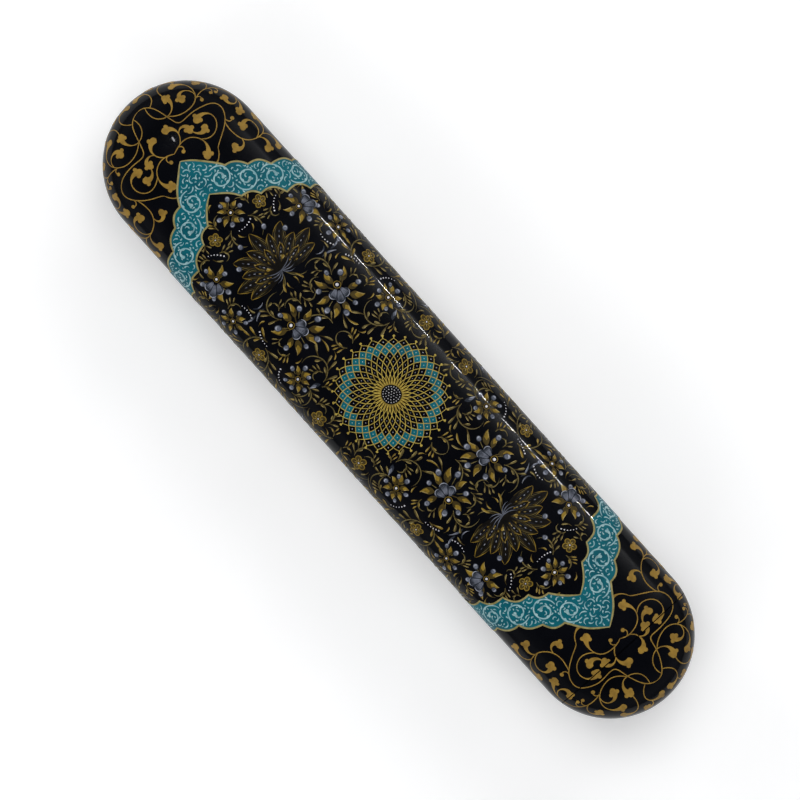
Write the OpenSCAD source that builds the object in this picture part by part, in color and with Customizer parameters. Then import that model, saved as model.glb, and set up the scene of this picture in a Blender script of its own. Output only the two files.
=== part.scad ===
// Sliding pen box with a drawer that holds reed pens, an inkwell and a scribe's small tools.
// X runs along the box and the drawer pulls out towards +X. Z is up, and the box stands on z = 0.

/* [Case] */
// Length of the closed box
case_l = 240; // [220:1:300]
// Width of the box, and the diameter of its round ends
case_w = 50.5; // [48:0.5:60]
// Height of the box at its crown
case_h = 42; // [40:0.5:54]
// Radius of the crown across the box
crown_r = 60; // [48:1:120]
// Radius of the shoulder between the crown and the side
shoulder_r = 9; // [7:0.5:11]
// Radius of the bottom edge
base_r = 4; // [2:0.5:5]
// Wall of the pasted-paper case
case_wall = 3.2; // [2.6:0.1:4]
// Radius in the lower corners of the hollow
cavity_r = 1.5; // [0.6:0.1:2.4]

/* [Drawer] */
// Length of the drawer's head, from the seam to the tip
head_l = 20; // [16:0.5:24]
// Hairline gap at the seam between case and head
seam_gap = 0.25; // [0.15:0.05:0.5]
// Running gap between the drawer and the hollow on each side
slide_gap = 0.4; // [0.3:0.05:0.8]
// Running gap under the drawer
glide_gap = 0.2; // [0.1:0.05:0.3]
// Height of the drawer's sides
tray_h = 18; // [14:0.5:21]
// Wall and floor of the drawer
tray_wall = 2.4; // [1.8:0.1:3]
// Outer radius along the drawer's lower edge
tray_outer_r = 2.6; // [2.2:0.1:4]
// Inner radius along the drawer's lower edge
tray_inner_r = 1.4; // [0.6:0.1:2]
// Thickness of the divider between pens and inkwell
divider_t = 2; // [1.4:0.1:3]
// Height of the divider above the drawer's floor
divider_h = 10; // [6:0.5:13]
// Glue gap round a piece set into the drawer
set_gap = 0.15; // [0.1:0.05:0.4]

/* [Inkwell] */
// Length of the inkwell along the box
inkwell_l = 34; // [30:0.5:42]
// Height of the inkwell's body
inkwell_h = 12; // [10:0.5:13]
// Radius of the inkwell's upright corners
inkwell_corner_r = 3; // [2:0.5:6]
// Wall of the inkwell
inkwell_wall = 1.2; // [0.8:0.1:1.8]
// Radius of the inkwell's mouth
mouth_r = 5; // [4:0.1:5.5]
// Wall of the neck round the mouth
neck_wall = 1.2; // [0.8:0.1:1.6]
// Height of the neck
neck_h = 1.6; // [1.2:0.1:2.4]
// Height of the silk wadding in the inkwell
wad_h = 4; // [2:0.5:5]
// Gap round the wadding
wad_gap = 0.6; // [0.3:0.1:2]

/* [Inkwell lid] */
// Overhang of the lid past the neck
lid_overhang = 0.5; // [0.2:0.1:1]
// Thickness of the lid's plate
lid_t = 1.2; // [0.9:0.1:1.6]
// Height of the lid's raised middle
lid_rise = 1.6; // [0.8:0.1:2.4]
// Radius of the flat on top of the raised middle
lid_flat_r = 1.8; // [1.6:0.1:2.6]
// Gap between the lid and the neck
lid_gap = 0.1; // [0.05:0.05:0.3]
// Distance from the lid's edge to the hinge axis
hinge_reach = 2; // [1.9:0.1:3]
// Radius of the hinge pin
pin_r = 0.7; // [0.5:0.05:0.9]
// Running clearance of the lid on the hinge pin
pin_clear = 0.05; // [0.02:0.01:0.1]
// Radius of the hinge knuckles
knuckle_r = 1.6; // [1.4:0.1:1.8]
// Width of the lid's knuckle
lid_knuckle_w = 5.4; // [4:0.2:7]
// Width of each knuckle on the inkwell
lug_w = 2; // [1.4:0.1:3]
// Gap between neighbouring knuckles
knuckle_gap = 0.2; // [0.1:0.05:0.4]
// Radius of the ball on the lid's finial
finial_r = 1.4; // [1:0.1:1.8]
// Depth that the ball sinks into the finial's collar
finial_sink = 0.3; // [0.1:0.05:0.5]
// Radius of the finial's collar
finial_collar_r = 1.5; // [1.2:0.1:1.6]
// Thickness of the finial's collar
finial_collar_t = 0.6; // [0.4:0.1:1]
// Radius of the finial's tenon in the lid
tenon_r = 0.8; // [0.5:0.1:1]

/* [Writing tools] */
// Diameters of the reed pens, from broad to fine
pen_d = [6.6, 6.2, 5.8]; // [5:0.1:7]
// Widths of the nibs, from broad to fine
nib_w = [3.4, 2.4, 1.4]; // [0.8:0.1:4.5]
// Share of a reed's diameter that is its bore
reed_bore_share = 0.5; // [0.3:0.05:0.6]
// Length of the slanted cut that makes a nib
nib_cut_l = 15; // [10:1:22]
// Length of the narrowed tip of a nib
nib_tip_l = 5; // [3:0.5:8]
// Thickness of the reed at the tip of a nib
nib_t = 0.9; // [0.6:0.1:1.4]
// Gap between a tool and the ends of its bay
tool_end_gap = 2; // [1:0.5:4]
// Gap between a loose tool and the drawer's floor
rest_gap = 0.3; // [0.1:0.05:0.4]
// Largest diameter of the penknife's handle
knife_d = 6.6; // [5:0.1:7]
// Diameter of the handle at its ends
knife_end_d = 4.6; // [3.6:0.1:5]
// Length of the handle
knife_handle_l = 66; // [50:1:80]
// Length of the ferrule
ferrule_l = 5; // [3:0.5:8]
// Radius of the blade's tang
tang_r = 0.9; // [0.6:0.1:1.2]
// Length of the tang inside the handle
tang_l = 14; // [8:1:24]
// Length of the blade
blade_l = 42; // [30:1:52]
// Width of the blade
blade_w = 5.6; // [4:0.2:6.4]
// Length of the blade's point, on the cutting edge
blade_point_l = 8; // [4:0.5:14]
// Length of the slope on the back of the blade's point
blade_clip_l = 5.5; // [3:0.5:12]
// Length of the shoulder where the blade narrows to the ferrule
blade_heel_l = 3; // [2:0.5:6]
// Thickness of the blade's back
blade_t = 1.2; // [0.8:0.1:1.8]
// Length of the nib-cutting plate
plate_l = 84; // [60:1:92]
// Width of the nib-cutting plate
plate_w = 8.4; // [6:0.2:8.8]
// Thickness of the nib-cutting plate
plate_t = 2.4; // [1.8:0.1:3.2]
// Length of the pen rest on the plate
pen_rest_l = 20; // [12:1:30]
// Height of the pen rest on the plate
pen_rest_h = 1.8; // [1.2:0.1:2.4]
// Radius of the groove in the pen rest
groove_r = 2.6; // [1.8:0.1:3]
// Depth of the groove in the pen rest
groove_depth = 1.4; // [0.8:0.1:1.7]
// Diameter of the water spoon's bowl
spoon_d = 8; // [6:0.2:8.6]
// Depth of the bowl
spoon_depth = 2.4; // [1.6:0.1:3]
// Thickness of the bowl
spoon_t = 0.6; // [0.4:0.05:0.9]
// Radius of the spoon's stem
stem_r = 0.8; // [0.6:0.05:1.2]
// Radius of the ball at the end of the stem
stem_ball_r = 1.7; // [1.3:0.1:2.2]

/* [Hidden] */
$fn = 64;

lacquer_black = "#14181c";
lining_red = "#6e1f18";
brass = "#b08d45";
reed = "#b98a4e";
bone = "#e4d8bd";
steel = "#9aa0a6";
ink = "#1b1b20";

// Reach of a cutting shape that has to pass right through
beyond = case_l;
// Small overlap where two shapes of one piece are joined
weld = 0.2;

// The box: centres of its round ends, its seam and the hollow inside it
end_x = case_l / 2 - case_w / 2;
seam_x = case_l / 2 - head_l;
cavity_half_w = case_w / 2 - case_wall;

// The drawer: it runs in the hollow and is glued to the head's back face
head_back_x = seam_x + seam_gap;
tray_half_w = cavity_half_w - slide_gap;
tray_in_half_w = tray_half_w - tray_wall;
tray_z0 = case_wall + glide_gap;
tray_floor_z = tray_z0 + tray_wall;
tray_rim_z = tray_z0 + tray_h;

// The inkwell's compartment, counted back from the drawer's end wall
inkwell_x1 = head_back_x - tray_wall - set_gap;
inkwell_x0 = inkwell_x1 - inkwell_l;
inkwell_x = (inkwell_x0 + inkwell_x1) / 2;
inkwell_half_w = tray_in_half_w - max(set_gap, tray_inner_r);
inkwell_top_z = tray_floor_z + inkwell_h;
divider_x1 = inkwell_x0 - set_gap;
divider_x0 = divider_x1 - divider_t;

// The lid and its hinge
neck_r = mouth_r + neck_wall;
neck_top_z = inkwell_top_z + neck_h;
lid_r = neck_r + lid_overhang;
lid_z = neck_top_z + lid_gap;
lid_top_z = lid_z + lid_t + lid_rise;
hinge_x = inkwell_x + lid_r + hinge_reach;
hinge_z = lid_z + lid_t / 2;
lug_y = lid_knuckle_w / 2 + knuckle_gap + lug_w / 2;

// The bay for pens and tools, and the lanes across it
bay_x0 = -end_x;
bay_x1 = divider_x0;
bay_l = bay_x1 - bay_x0;
lane_w = [pen_d[0], pen_d[1], pen_d[2], knife_d, max(plate_w, spoon_d)];
function total(list, n) = n == 0 ? 0 : list[n - 1] + total(list, n - 1);
lane_gap = (2 * tray_in_half_w - total(lane_w, len(lane_w))) / (len(lane_w) + 1);
function lane_y(i) = -tray_in_half_w + lane_gap * (i + 1) + total(lane_w, i) + lane_w[i] / 2;
tool_z = tray_floor_z + rest_gap;
tool_x0 = bay_x0 + tool_end_gap;
pen_l = bay_l - 2 * tool_end_gap;
spoon_x0 = tool_x0 + plate_l + tool_end_gap;
spoon_l = bay_x1 - tool_end_gap - spoon_x0;

// Flat shapes

// Slice of a disc between two angles, with its point at c
module sector(c, r, a0, a1) {
    mid = (a0 + a1) / 2;
    intersection() {
        translate(c) circle(r);
        polygon([
            c,
            c + 2 * r * [cos(a0), sin(a0)],
            c + 3 * r * [cos(mid), sin(mid)],
            c + 2 * r * [cos(a1), sin(a1)]
        ]);
    }
}

// Flat-topped channel section with rounded lower corners
module trough(half_w, z0, z1, r) {
    polygon([
        [-half_w + r, z0], [half_w - r, z0], [half_w - r, z0 + r], [half_w, z0 + r],
        [half_w, z1], [-half_w, z1], [-half_w, z0 + r], [-half_w + r, z0 + r]
    ]);
    sector([half_w - r, z0 + r], r, 270, 360);
    sector([-half_w + r, z0 + r], r, 180, 270);
}

// Box section with a crowned top, round shoulders and rounded lower corners
module crowned(half_w, z0, z1, crown, shoulder, base) {
    centre_z = z1 - crown;
    sx = half_w - shoulder;
    sz = centre_z + sqrt(pow(crown - shoulder, 2) - pow(sx, 2));
    turn = atan2(sz - centre_z, sx);
    tx = crown * cos(turn);
    trough(half_w, z0, sz, base);
    for (side = [-1, 1]) translate([side * sx, sz]) circle(shoulder);
    intersection() {
        translate([0, centre_z]) circle(crown);
        translate([-tx, sz - weld]) square([2 * tx, z1 - sz + shoulder]);
    }
}

// Rectangle with rounded corners, centred on the origin
module rounded_rectangle(l, w, r) {
    x = l / 2 - r;
    y = w / 2 - r;
    polygon([
        [-x, -y - r], [x, -y - r], [x, -y], [x + r, -y], [x + r, y], [x, y],
        [x, y + r], [-x, y + r], [-x, y], [-x - r, y], [-x - r, -y], [-x, -y]
    ]);
    sector([x, y], r, 0, 90);
    sector([-x, y], r, 90, 180);
    sector([-x, -y], r, 180, 270);
    sector([x, -y], r, 270, 360);
}

// Solids swept from a flat section

// Carries a cross-section (Y across, Z up) from x0 to x1
module along_x(x0, x1) {
    translate([x0, 0, 0]) rotate([90, 0, 90]) linear_extrude(x1 - x0) children();
}

// Turns the right half of a cross-section through a half circle about an upright axis at x
module round_end(x, facing) {
    translate([x, 0, 0]) rotate([0, 0, facing - 90]) rotate_extrude(angle = 180) intersection() {
        children();
        translate([0, -beyond]) square([beyond, 2 * beyond]);
    }
}

// Outer form of the whole closed box
module box_form() {
    along_x(-end_x, end_x) outer_section();
    round_end(-end_x, 180) outer_section();
    round_end(end_x, 0) outer_section();
}

module outer_section() {
    crowned(case_w / 2, 0, case_h, crown_r, shoulder_r, base_r);
}

module cavity_section() {
    crowned(
        cavity_half_w, case_wall, case_h - case_wall,
        crown_r - case_wall, shoulder_r - case_wall, cavity_r
    );
}

// Keeps everything from x0 to x1
module slab_x(x0, x1) {
    translate([x0, -beyond / 2, -beyond / 2]) cube([x1 - x0, beyond, beyond]);
}

// Sub-parts

// Wall of the case, with the hollow already taken out
module hollow_section() {
    difference() {
        outer_section();
        cavity_section();
    }
}

module case_sleeve() {
    color(lacquer_black) {
        along_x(-end_x, end_x) hollow_section();
        round_end(-end_x, 180) hollow_section();
        difference() {
            intersection() {
                round_end(end_x, 0) outer_section();
                slab_x(end_x, seam_x);
            }
            along_x(end_x - weld, seam_x + weld) cavity_section();
        }
    }
}

module drawer_head() {
    color(lacquer_black) intersection() {
        box_form();
        slab_x(head_back_x, beyond);
    }
}

// Drawer's cross-section: a channel whose sides end in half-round rims
module tray_section() {
    rim_r = tray_wall / 2;
    wall_mid = tray_half_w - rim_r;
    difference() {
        trough(tray_half_w, tray_z0, tray_rim_z - rim_r, tray_outer_r);
        trough(tray_in_half_w, tray_floor_z, tray_rim_z + rim_r, tray_inner_r);
    }
    sector([wall_mid, tray_rim_z - rim_r], rim_r, 0, 180);
    sector([-wall_mid, tray_rim_z - rim_r], rim_r, 0, 180);
}

module drawer_tray() {
    end_wall_x = head_back_x - tray_wall;
    color(lining_red) {
        along_x(-end_x, head_back_x) tray_section();
        round_end(-end_x, 180) tray_section();
        along_x(end_wall_x, head_back_x)
            trough(tray_half_w, tray_z0, tray_rim_z - tray_wall / 2, tray_outer_r);
    }
}

module tray_divider() {
    color(lining_red) along_x(divider_x0, divider_x1) trough(
        tray_in_half_w - set_gap, tray_floor_z, tray_floor_z + divider_h, tray_inner_r
    );
}

module inkwell_body() {
    color(brass) {
        difference() {
            union() {
                translate([inkwell_x, 0, tray_floor_z]) linear_extrude(inkwell_h)
                    rounded_rectangle(inkwell_l, 2 * inkwell_half_w, inkwell_corner_r);
                translate([inkwell_x, 0, inkwell_top_z - weld]) cylinder(r = neck_r, h = neck_h + weld);
                for (side = [-1, 1]) hinge_lug(side * lug_y);
            }
            translate([inkwell_x, 0, tray_floor_z + inkwell_wall])
                linear_extrude(inkwell_h - 2 * inkwell_wall) rounded_rectangle(
                    inkwell_l - 2 * inkwell_wall,
                    2 * (inkwell_half_w - inkwell_wall),
                    inkwell_corner_r - inkwell_wall / 2
                );
            translate([inkwell_x, 0, inkwell_top_z - 2 * inkwell_wall]) cylinder(r = mouth_r, h = inkwell_h);
            hinge_bar(pin_r, 2 * beyond);
        }
    }
}

// Upright lug with a round top, centred at y
module hinge_lug(y) {
    translate([hinge_x, y, hinge_z]) rotate([90, 0, 0]) cylinder(r = knuckle_r, h = lug_w, center = true);
    translate([hinge_x - knuckle_r, y - lug_w / 2, inkwell_top_z - weld])
        cube([2 * knuckle_r, lug_w, hinge_z - inkwell_top_z + weld]);
}

// Round bar on the hinge axis
module hinge_bar(r, l) {
    translate([hinge_x, 0, hinge_z]) rotate([90, 0, 0]) cylinder(r = r, h = l, center = true);
}

module ink_wad() {
    inset = 2 * (inkwell_wall + wad_gap);
    color(ink) translate([inkwell_x, 0, tray_floor_z + inkwell_wall]) linear_extrude(wad_h)
        rounded_rectangle(inkwell_l - inset, 2 * inkwell_half_w - inset, inkwell_corner_r);
}

module inkwell_hinge_pin() {
    color(steel) hinge_bar(pin_r, 2 * lug_y + lug_w);
}

module inkwell_lid() {
    shoulder = lid_r - neck_wall;
    color(brass) difference() {
        union() {
            translate([inkwell_x, 0, lid_z]) rotate_extrude() polygon([
                [0, 0], [lid_r, 0], [lid_r, lid_t], [shoulder, lid_t],
                [lid_flat_r, lid_t + lid_rise], [0, lid_t + lid_rise]
            ]);
            translate([inkwell_x, -lid_knuckle_w / 2, lid_z])
                cube([hinge_x - inkwell_x, lid_knuckle_w, lid_t]);
            hinge_bar(knuckle_r, lid_knuckle_w);
        }
        hinge_bar(pin_r + pin_clear, 2 * beyond);
        translate([inkwell_x, 0, lid_z + lid_t]) cylinder(r = tenon_r, h = beyond);
    }
}

module lid_finial() {
    ball_z = finial_collar_t + finial_r - finial_sink;
    color(brass) translate([inkwell_x, 0, lid_top_z]) {
        translate([0, 0, -lid_rise]) cylinder(r = tenon_r, h = lid_rise + finial_collar_t);
        cylinder(r = finial_collar_r, h = finial_collar_t);
        translate([0, 0, ball_z]) sphere(finial_r);
    }
}

// Hollow reed with a slanted cut and a narrowed nib at its -X end
module reed_pen(i) {
    r = pen_d[i] / 2;
    bore = r * reed_bore_share;
    slant = atan2(pen_d[i] - nib_t, nib_cut_l);
    color(reed) translate([tool_x0, lane_y(i), tool_z + r]) difference() {
        rotate([0, 90, 0]) cylinder(r = r, h = pen_l);
        translate([-weld, 0, 0]) rotate([0, 90, 0]) cylinder(r = bore, h = pen_l + 2 * weld);
        translate([0, -r - weld, nib_t - r]) rotate([0, -slant, 0]) translate([-nib_cut_l, 0, 0])
            cube([3 * nib_cut_l, 2 * (r + weld), 2 * pen_d[i]]);
        for (side = [-1, 1]) translate([-weld, side * (nib_w[i] / 2 + r) - r, -pen_d[i]])
            cube([nib_tip_l + weld, pen_d[i], 2 * pen_d[i]]);
    }
}

module reed_pen_broad() {
    reed_pen(0);
}

module reed_pen_medium() {
    reed_pen(1);
}

module reed_pen_fine() {
    reed_pen(2);
}

// The penknife lies in the fourth lane with its blade towards -X
knife_axis_z = tool_z + knife_d / 2;
blade_x0 = tool_x0;
ferrule_x0 = blade_x0 + blade_l;
handle_x0 = ferrule_x0 + ferrule_l;

// Moves a shape that is turned about +Z onto the penknife's axis, from x towards +X
module on_knife_axis(x) {
    translate([x, lane_y(3), knife_axis_z]) rotate([0, 90, 0]) children();
}

module penknife_handle() {
    swell_steps = 12;
    swell = [for (i = [0:swell_steps]) [
        knife_end_d / 2 + (knife_d - knife_end_d) / 2 * sin(180 * i / swell_steps),
        knife_handle_l * i / swell_steps
    ]];
    color(bone) on_knife_axis(handle_x0) difference() {
        rotate_extrude() polygon(concat([[0, 0]], swell, [[0, knife_handle_l]]));
        translate([0, 0, -weld]) cylinder(r = tang_r, h = tang_l + weld);
    }
}

module penknife_ferrule() {
    color(brass) on_knife_axis(ferrule_x0) difference() {
        cylinder(r = knife_end_d / 2, h = ferrule_l);
        translate([0, 0, -weld]) cylinder(r = tang_r, h = ferrule_l + 2 * weld);
    }
}

module penknife_blade() {
    color(steel) {
        translate([blade_x0, lane_y(3), knife_axis_z - blade_t / 2]) linear_extrude(blade_t) polygon([
            [blade_l, -knife_end_d / 2], [blade_l - blade_heel_l, -blade_w / 2], [blade_clip_l, -blade_w / 2],
            [0, 0],
            [blade_point_l, blade_w / 2], [blade_l - blade_heel_l, blade_w / 2], [blade_l, knife_end_d / 2]
        ]);
        on_knife_axis(ferrule_x0 - weld) cylinder(r = tang_r, h = ferrule_l + tang_l);
    }
}

module nib_plate() {
    end_r = plate_w / 2;
    color(bone) translate([tool_x0, lane_y(4), tool_z]) difference() {
        union() {
            linear_extrude(plate_t) {
                translate([end_r, -end_r]) square([plate_l - plate_w, plate_w]);
                sector([end_r, 0], end_r, 90, 270);
                sector([plate_l - end_r, 0], end_r, -90, 90);
            }
            translate([(plate_l - pen_rest_l) / 2, -end_r, plate_t - weld])
                cube([pen_rest_l, plate_w, pen_rest_h + weld]);
        }
        translate([0, 0, plate_t + pen_rest_h + groove_r - groove_depth]) rotate([0, 90, 0])
            cylinder(r = groove_r, h = plate_l);
    }
}

module water_spoon() {
    bowl_r = (pow(spoon_d / 2, 2) + pow(spoon_depth, 2)) / (2 * spoon_depth);
    rim_z = spoon_depth;
    stem_z = max(rim_z - stem_r, stem_ball_r);
    color(brass) translate([spoon_x0, lane_y(4), tool_z]) {
        difference() {
            translate([spoon_d / 2, 0, bowl_r]) sphere(bowl_r);
            translate([spoon_d / 2, 0, bowl_r]) sphere(bowl_r - spoon_t);
            translate([-beyond / 2, -beyond / 2, rim_z]) cube(beyond);
        }
        translate([spoon_d - spoon_t, 0, stem_z]) rotate([0, 90, 0])
            cylinder(r = stem_r, h = spoon_l - spoon_d + spoon_t - stem_ball_r);
        translate([spoon_l - stem_ball_r, 0, stem_z]) sphere(stem_ball_r);
    }
}

case_sleeve();
drawer_tray();
drawer_head();
tray_divider();
inkwell_body();
ink_wad();
inkwell_hinge_pin();
inkwell_lid();
lid_finial();
reed_pen_broad();
reed_pen_medium();
reed_pen_fine();
penknife_handle();
penknife_ferrule();
penknife_blade();
nib_plate();
water_spoon();
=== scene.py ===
"""Lacquered pen box with a sliding drawer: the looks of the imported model.

The box is pasted paper under black lacquer. Its painting is drawn flat, in millimetres, as brush strokes in
complex numbers (along the box + 1j * round it), and laid on the curved surface in thin coats, one a tone.
"""

import logging
import math
from dataclasses import dataclass, field, replace
from enum import Enum
from typing import ClassVar, Optional, Sequence

import bmesh
import bpy
import numpy as np
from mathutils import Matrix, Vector


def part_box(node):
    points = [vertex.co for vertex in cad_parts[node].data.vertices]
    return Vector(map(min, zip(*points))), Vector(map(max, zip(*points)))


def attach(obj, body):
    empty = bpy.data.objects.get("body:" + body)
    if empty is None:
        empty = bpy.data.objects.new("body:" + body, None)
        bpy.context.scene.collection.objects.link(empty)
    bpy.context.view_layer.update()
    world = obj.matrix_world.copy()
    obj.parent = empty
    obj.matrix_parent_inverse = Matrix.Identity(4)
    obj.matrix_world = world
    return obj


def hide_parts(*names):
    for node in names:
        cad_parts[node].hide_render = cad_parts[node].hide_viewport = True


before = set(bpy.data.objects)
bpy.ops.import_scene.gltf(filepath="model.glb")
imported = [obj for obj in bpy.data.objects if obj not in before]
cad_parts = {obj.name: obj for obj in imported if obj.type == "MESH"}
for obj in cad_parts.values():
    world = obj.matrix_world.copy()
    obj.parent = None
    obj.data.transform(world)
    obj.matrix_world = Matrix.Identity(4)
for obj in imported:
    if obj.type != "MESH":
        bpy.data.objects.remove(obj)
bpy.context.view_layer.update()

LOG = logging.getLogger("pen_box")
MM = 0.001
# Least divisor, so that nothing is divided by zero.
TINY = 1e-9
# Height of one coat of paint over the next, in millimetres.
COAT_STEP = 0.014
# Lip beside the seam that the brush leaves bare, in millimetres.
BARE_LIP = 0.03
# How far a hand drifts from a drawn line, in millimetres.
HAND_DRIFT = 0.11

# Points of a flat drawing, as complex numbers in millimetres.
Flat = np.ndarray
Tree = bpy.types.NodeTree
Node = bpy.types.Node
Socket = bpy.types.NodeSocket
Piece = bpy.types.Object
Work = bmesh.types.BMesh


class Kind(Enum):
    """Kinds of node, by Blender's names."""

    PLACE = "ShaderNodeTexCoord"
    STRETCH = "ShaderNodeMapping"
    SPLIT = "ShaderNodeSeparateXYZ"
    NOISE = "ShaderNodeTexNoise"
    RAMP = "ShaderNodeValToRGB"
    RANGE = "ShaderNodeMapRange"
    MIX = "ShaderNodeMix"
    MATH = "ShaderNodeMath"
    BUMP = "ShaderNodeBump"
    RAY = "ShaderNodeLightPath"


# Numbers of a mix node's sockets: its share, its two colours and its result.
MIX_SHARE, MIX_FIRST, MIX_SECOND = 0, 6, 7
MIX_RESULT = 2
MULTIPLY = {"data_type": "RGBA", "blend_type": "MULTIPLY", MIX_SHARE: 1.0}


def linear(colour: str) -> tuple[float, float, float, float]:
    """Turns a colour as written into Blender's linear values.

    Args:
        colour: sRGB hex, such as "#A67F33".

    Returns:
        Linear red, green, blue and alpha.
    """
    parts = [int(colour[i:i + 2], 16) / 255.0 for i in (1, 3, 5)]
    red, green, blue = [p / 12.92 if p <= 0.04045 else ((p + 0.055) / 1.055) ** 2.4 for p in parts]
    return red, green, blue, 1.0


def set_up(tree: Tree, node: Node, settings: Optional[dict] = None, links: Optional[dict] = None) -> None:
    """Gives a node its settings and links.

    Args:
        tree: Node tree that the node is in.
        node: The node.
        settings: Values by input name or number, or by property name; "ramp" takes (place, hex colour) pairs.
        links: What feeds each input, by its name or number: an output, or a node, which stands for its first.
    """
    for key, value in (settings or {}).items():
        if key == "ramp":
            stops = node.color_ramp.elements
            while len(stops) < len(value):
                stops.new(0.5)
            for stop, (place, colour) in zip(stops, value):
                stop.position = place
                stop.color = linear(colour)
        elif isinstance(key, int) or key in node.inputs:
            node.inputs[key].default_value = value
        else:
            setattr(node, key, value)
    for key, source in (links or {}).items():
        output = source.outputs[0] if isinstance(source, Node) else source
        tree.links.new(output, node.inputs[key])


def add_node(tree: Tree, kind: Kind, settings: Optional[dict] = None, links: Optional[dict] = None) -> Node:
    """Adds a node with its settings and links.

    Args:
        tree: Node tree to add to.
        kind: Kind of node.
        settings: Values, as set_up takes them.
        links: What feeds the inputs, as set_up takes it.

    Returns:
        The new node.
    """
    node = tree.nodes.new(kind.value)
    set_up(tree, node, settings, links)
    return node


def per_mm(size: float) -> float:
    """Gives the texture scale whose features are this many millimetres wide."""
    return 1.0 / (size * MM)


@dataclass(frozen=True)
class Finish:
    """A surface finish, named for the real material, and the record slot it belongs to."""

    name: str
    slot: str

    def material(self) -> bpy.types.Material:
        """Makes the node material, or finds it if it is made already.

        Returns:
            The material.
        """
        made = bpy.data.materials.get(self.name)
        if made is None:
            made = bpy.data.materials.new(self.name)
            made.use_nodes = True
            tree = made.node_tree
            place = add_node(tree, Kind.PLACE).outputs["Object"]
            self.dress(tree, tree.nodes["Principled BSDF"], place)
        return made

    def dress(self, tree: Tree, shader: Node, place: Socket) -> None:
        """Sets up the nodes; each finish has its own way.

        Args:
            tree: Node tree of the material.
            shader: The material's shader.
            place: Places on the object, in metres.
        """
        raise NotImplementedError


@dataclass(frozen=True)
class Varnished(Finish):
    """A finish under clear varnish: a wet gloss with the faint wave of rubbing by hand."""

    slot: str = "lacquered_paper"
    wave_mm: float = 22.0
    wave_depth_mm: float = 0.12

    def varnish(self, tree: Tree, shader: Node, place: Socket) -> None:
        """Lays the waved clear coat over what is below.

        Args:
            tree: Node tree of the material.
            shader: The material's shader.
            place: Places on the object, in metres.
        """
        wave = add_node(tree, Kind.NOISE, {"Scale": per_mm(self.wave_mm), "Detail": 1.0}, {"Vector": place})
        depth = {"Strength": 0.25, "Distance": self.wave_depth_mm * MM}
        bump = add_node(tree, Kind.BUMP, depth, {"Height": wave})
        coat = {"Coat Weight": 0.2, "Coat Roughness": 0.02, "Coat IOR": 1.42}
        set_up(tree, shader, coat, {"Coat Normal": bump})


@dataclass(frozen=True)
class BlackLacquer(Varnished):
    """Varnish rubbed over black ground on pasted paper: deep black, with a wet gloss and a faint wave."""

    name: str = "black_lacquer_on_paper"
    deep: str = "#050609"
    lifted: str = "#0B0C11"
    cloud_mm: float = 14.0
    # Rubbing marks; real ones are too fine to show, so these are coarser.
    rub_mm: float = 0.9

    def dress(self, tree: Tree, shader: Node, place: Socket) -> None:
        """Clouds the black a little and lays the varnish over it.

        Args:
            tree: Node tree of the material.
            shader: The material's shader.
            place: Places on the object, in metres.
        """
        cloud = add_node(tree, Kind.NOISE, {"Scale": per_mm(self.cloud_mm), "Detail": 4.0}, {"Vector": place})
        tint = add_node(tree, Kind.RAMP, {"ramp": [(0.3, self.deep), (0.75, self.lifted)]}, {"Fac": cloud})
        rub = add_node(tree, Kind.NOISE, {"Scale": per_mm(self.rub_mm), "Detail": 3.0}, {"Vector": place})
        rough = add_node(tree, Kind.RANGE, {"To Min": 0.16, "To Max": 0.30}, {"Value": rub})
        self.varnish(tree, shader, place)
        gloss = {"IOR": 1.45, "Specular IOR Level": 0.05}
        set_up(tree, shader, gloss, {"Base Color": tint, "Roughness": rough})


@dataclass(frozen=True)
class VarnishedPaint(Varnished):
    """Brushed colour under clear varnish: streaky where the brush ran dry, with the box's own gloss."""

    name: str = "paint"
    full: str = "#A67F33"
    thin: str = "#7C5E26"
    load_mm: float = 1.6

    def dress(self, tree: Tree, shader: Node, place: Socket) -> None:
        """Mixes the full and the thin colour by brush load and lays the varnish over them.

        Args:
            tree: Node tree of the material.
            shader: The material's shader.
            place: Places on the object, in metres.
        """
        grain = {"Scale": per_mm(self.load_mm), "Detail": 3.0, "Roughness": 0.6}
        load = add_node(tree, Kind.NOISE, grain, {"Vector": place})
        tint = add_node(tree, Kind.RAMP, {"ramp": [(0.32, self.thin), (0.62, self.full)]}, {"Fac": load})
        rough = add_node(tree, Kind.RANGE, {"To Min": 0.62, "To Max": 0.42}, {"Value": load})
        self.varnish(tree, shader, place)
        set_up(tree, shader, {"Specular IOR Level": 0.1}, {"Base Color": tint, "Roughness": rough})


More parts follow.
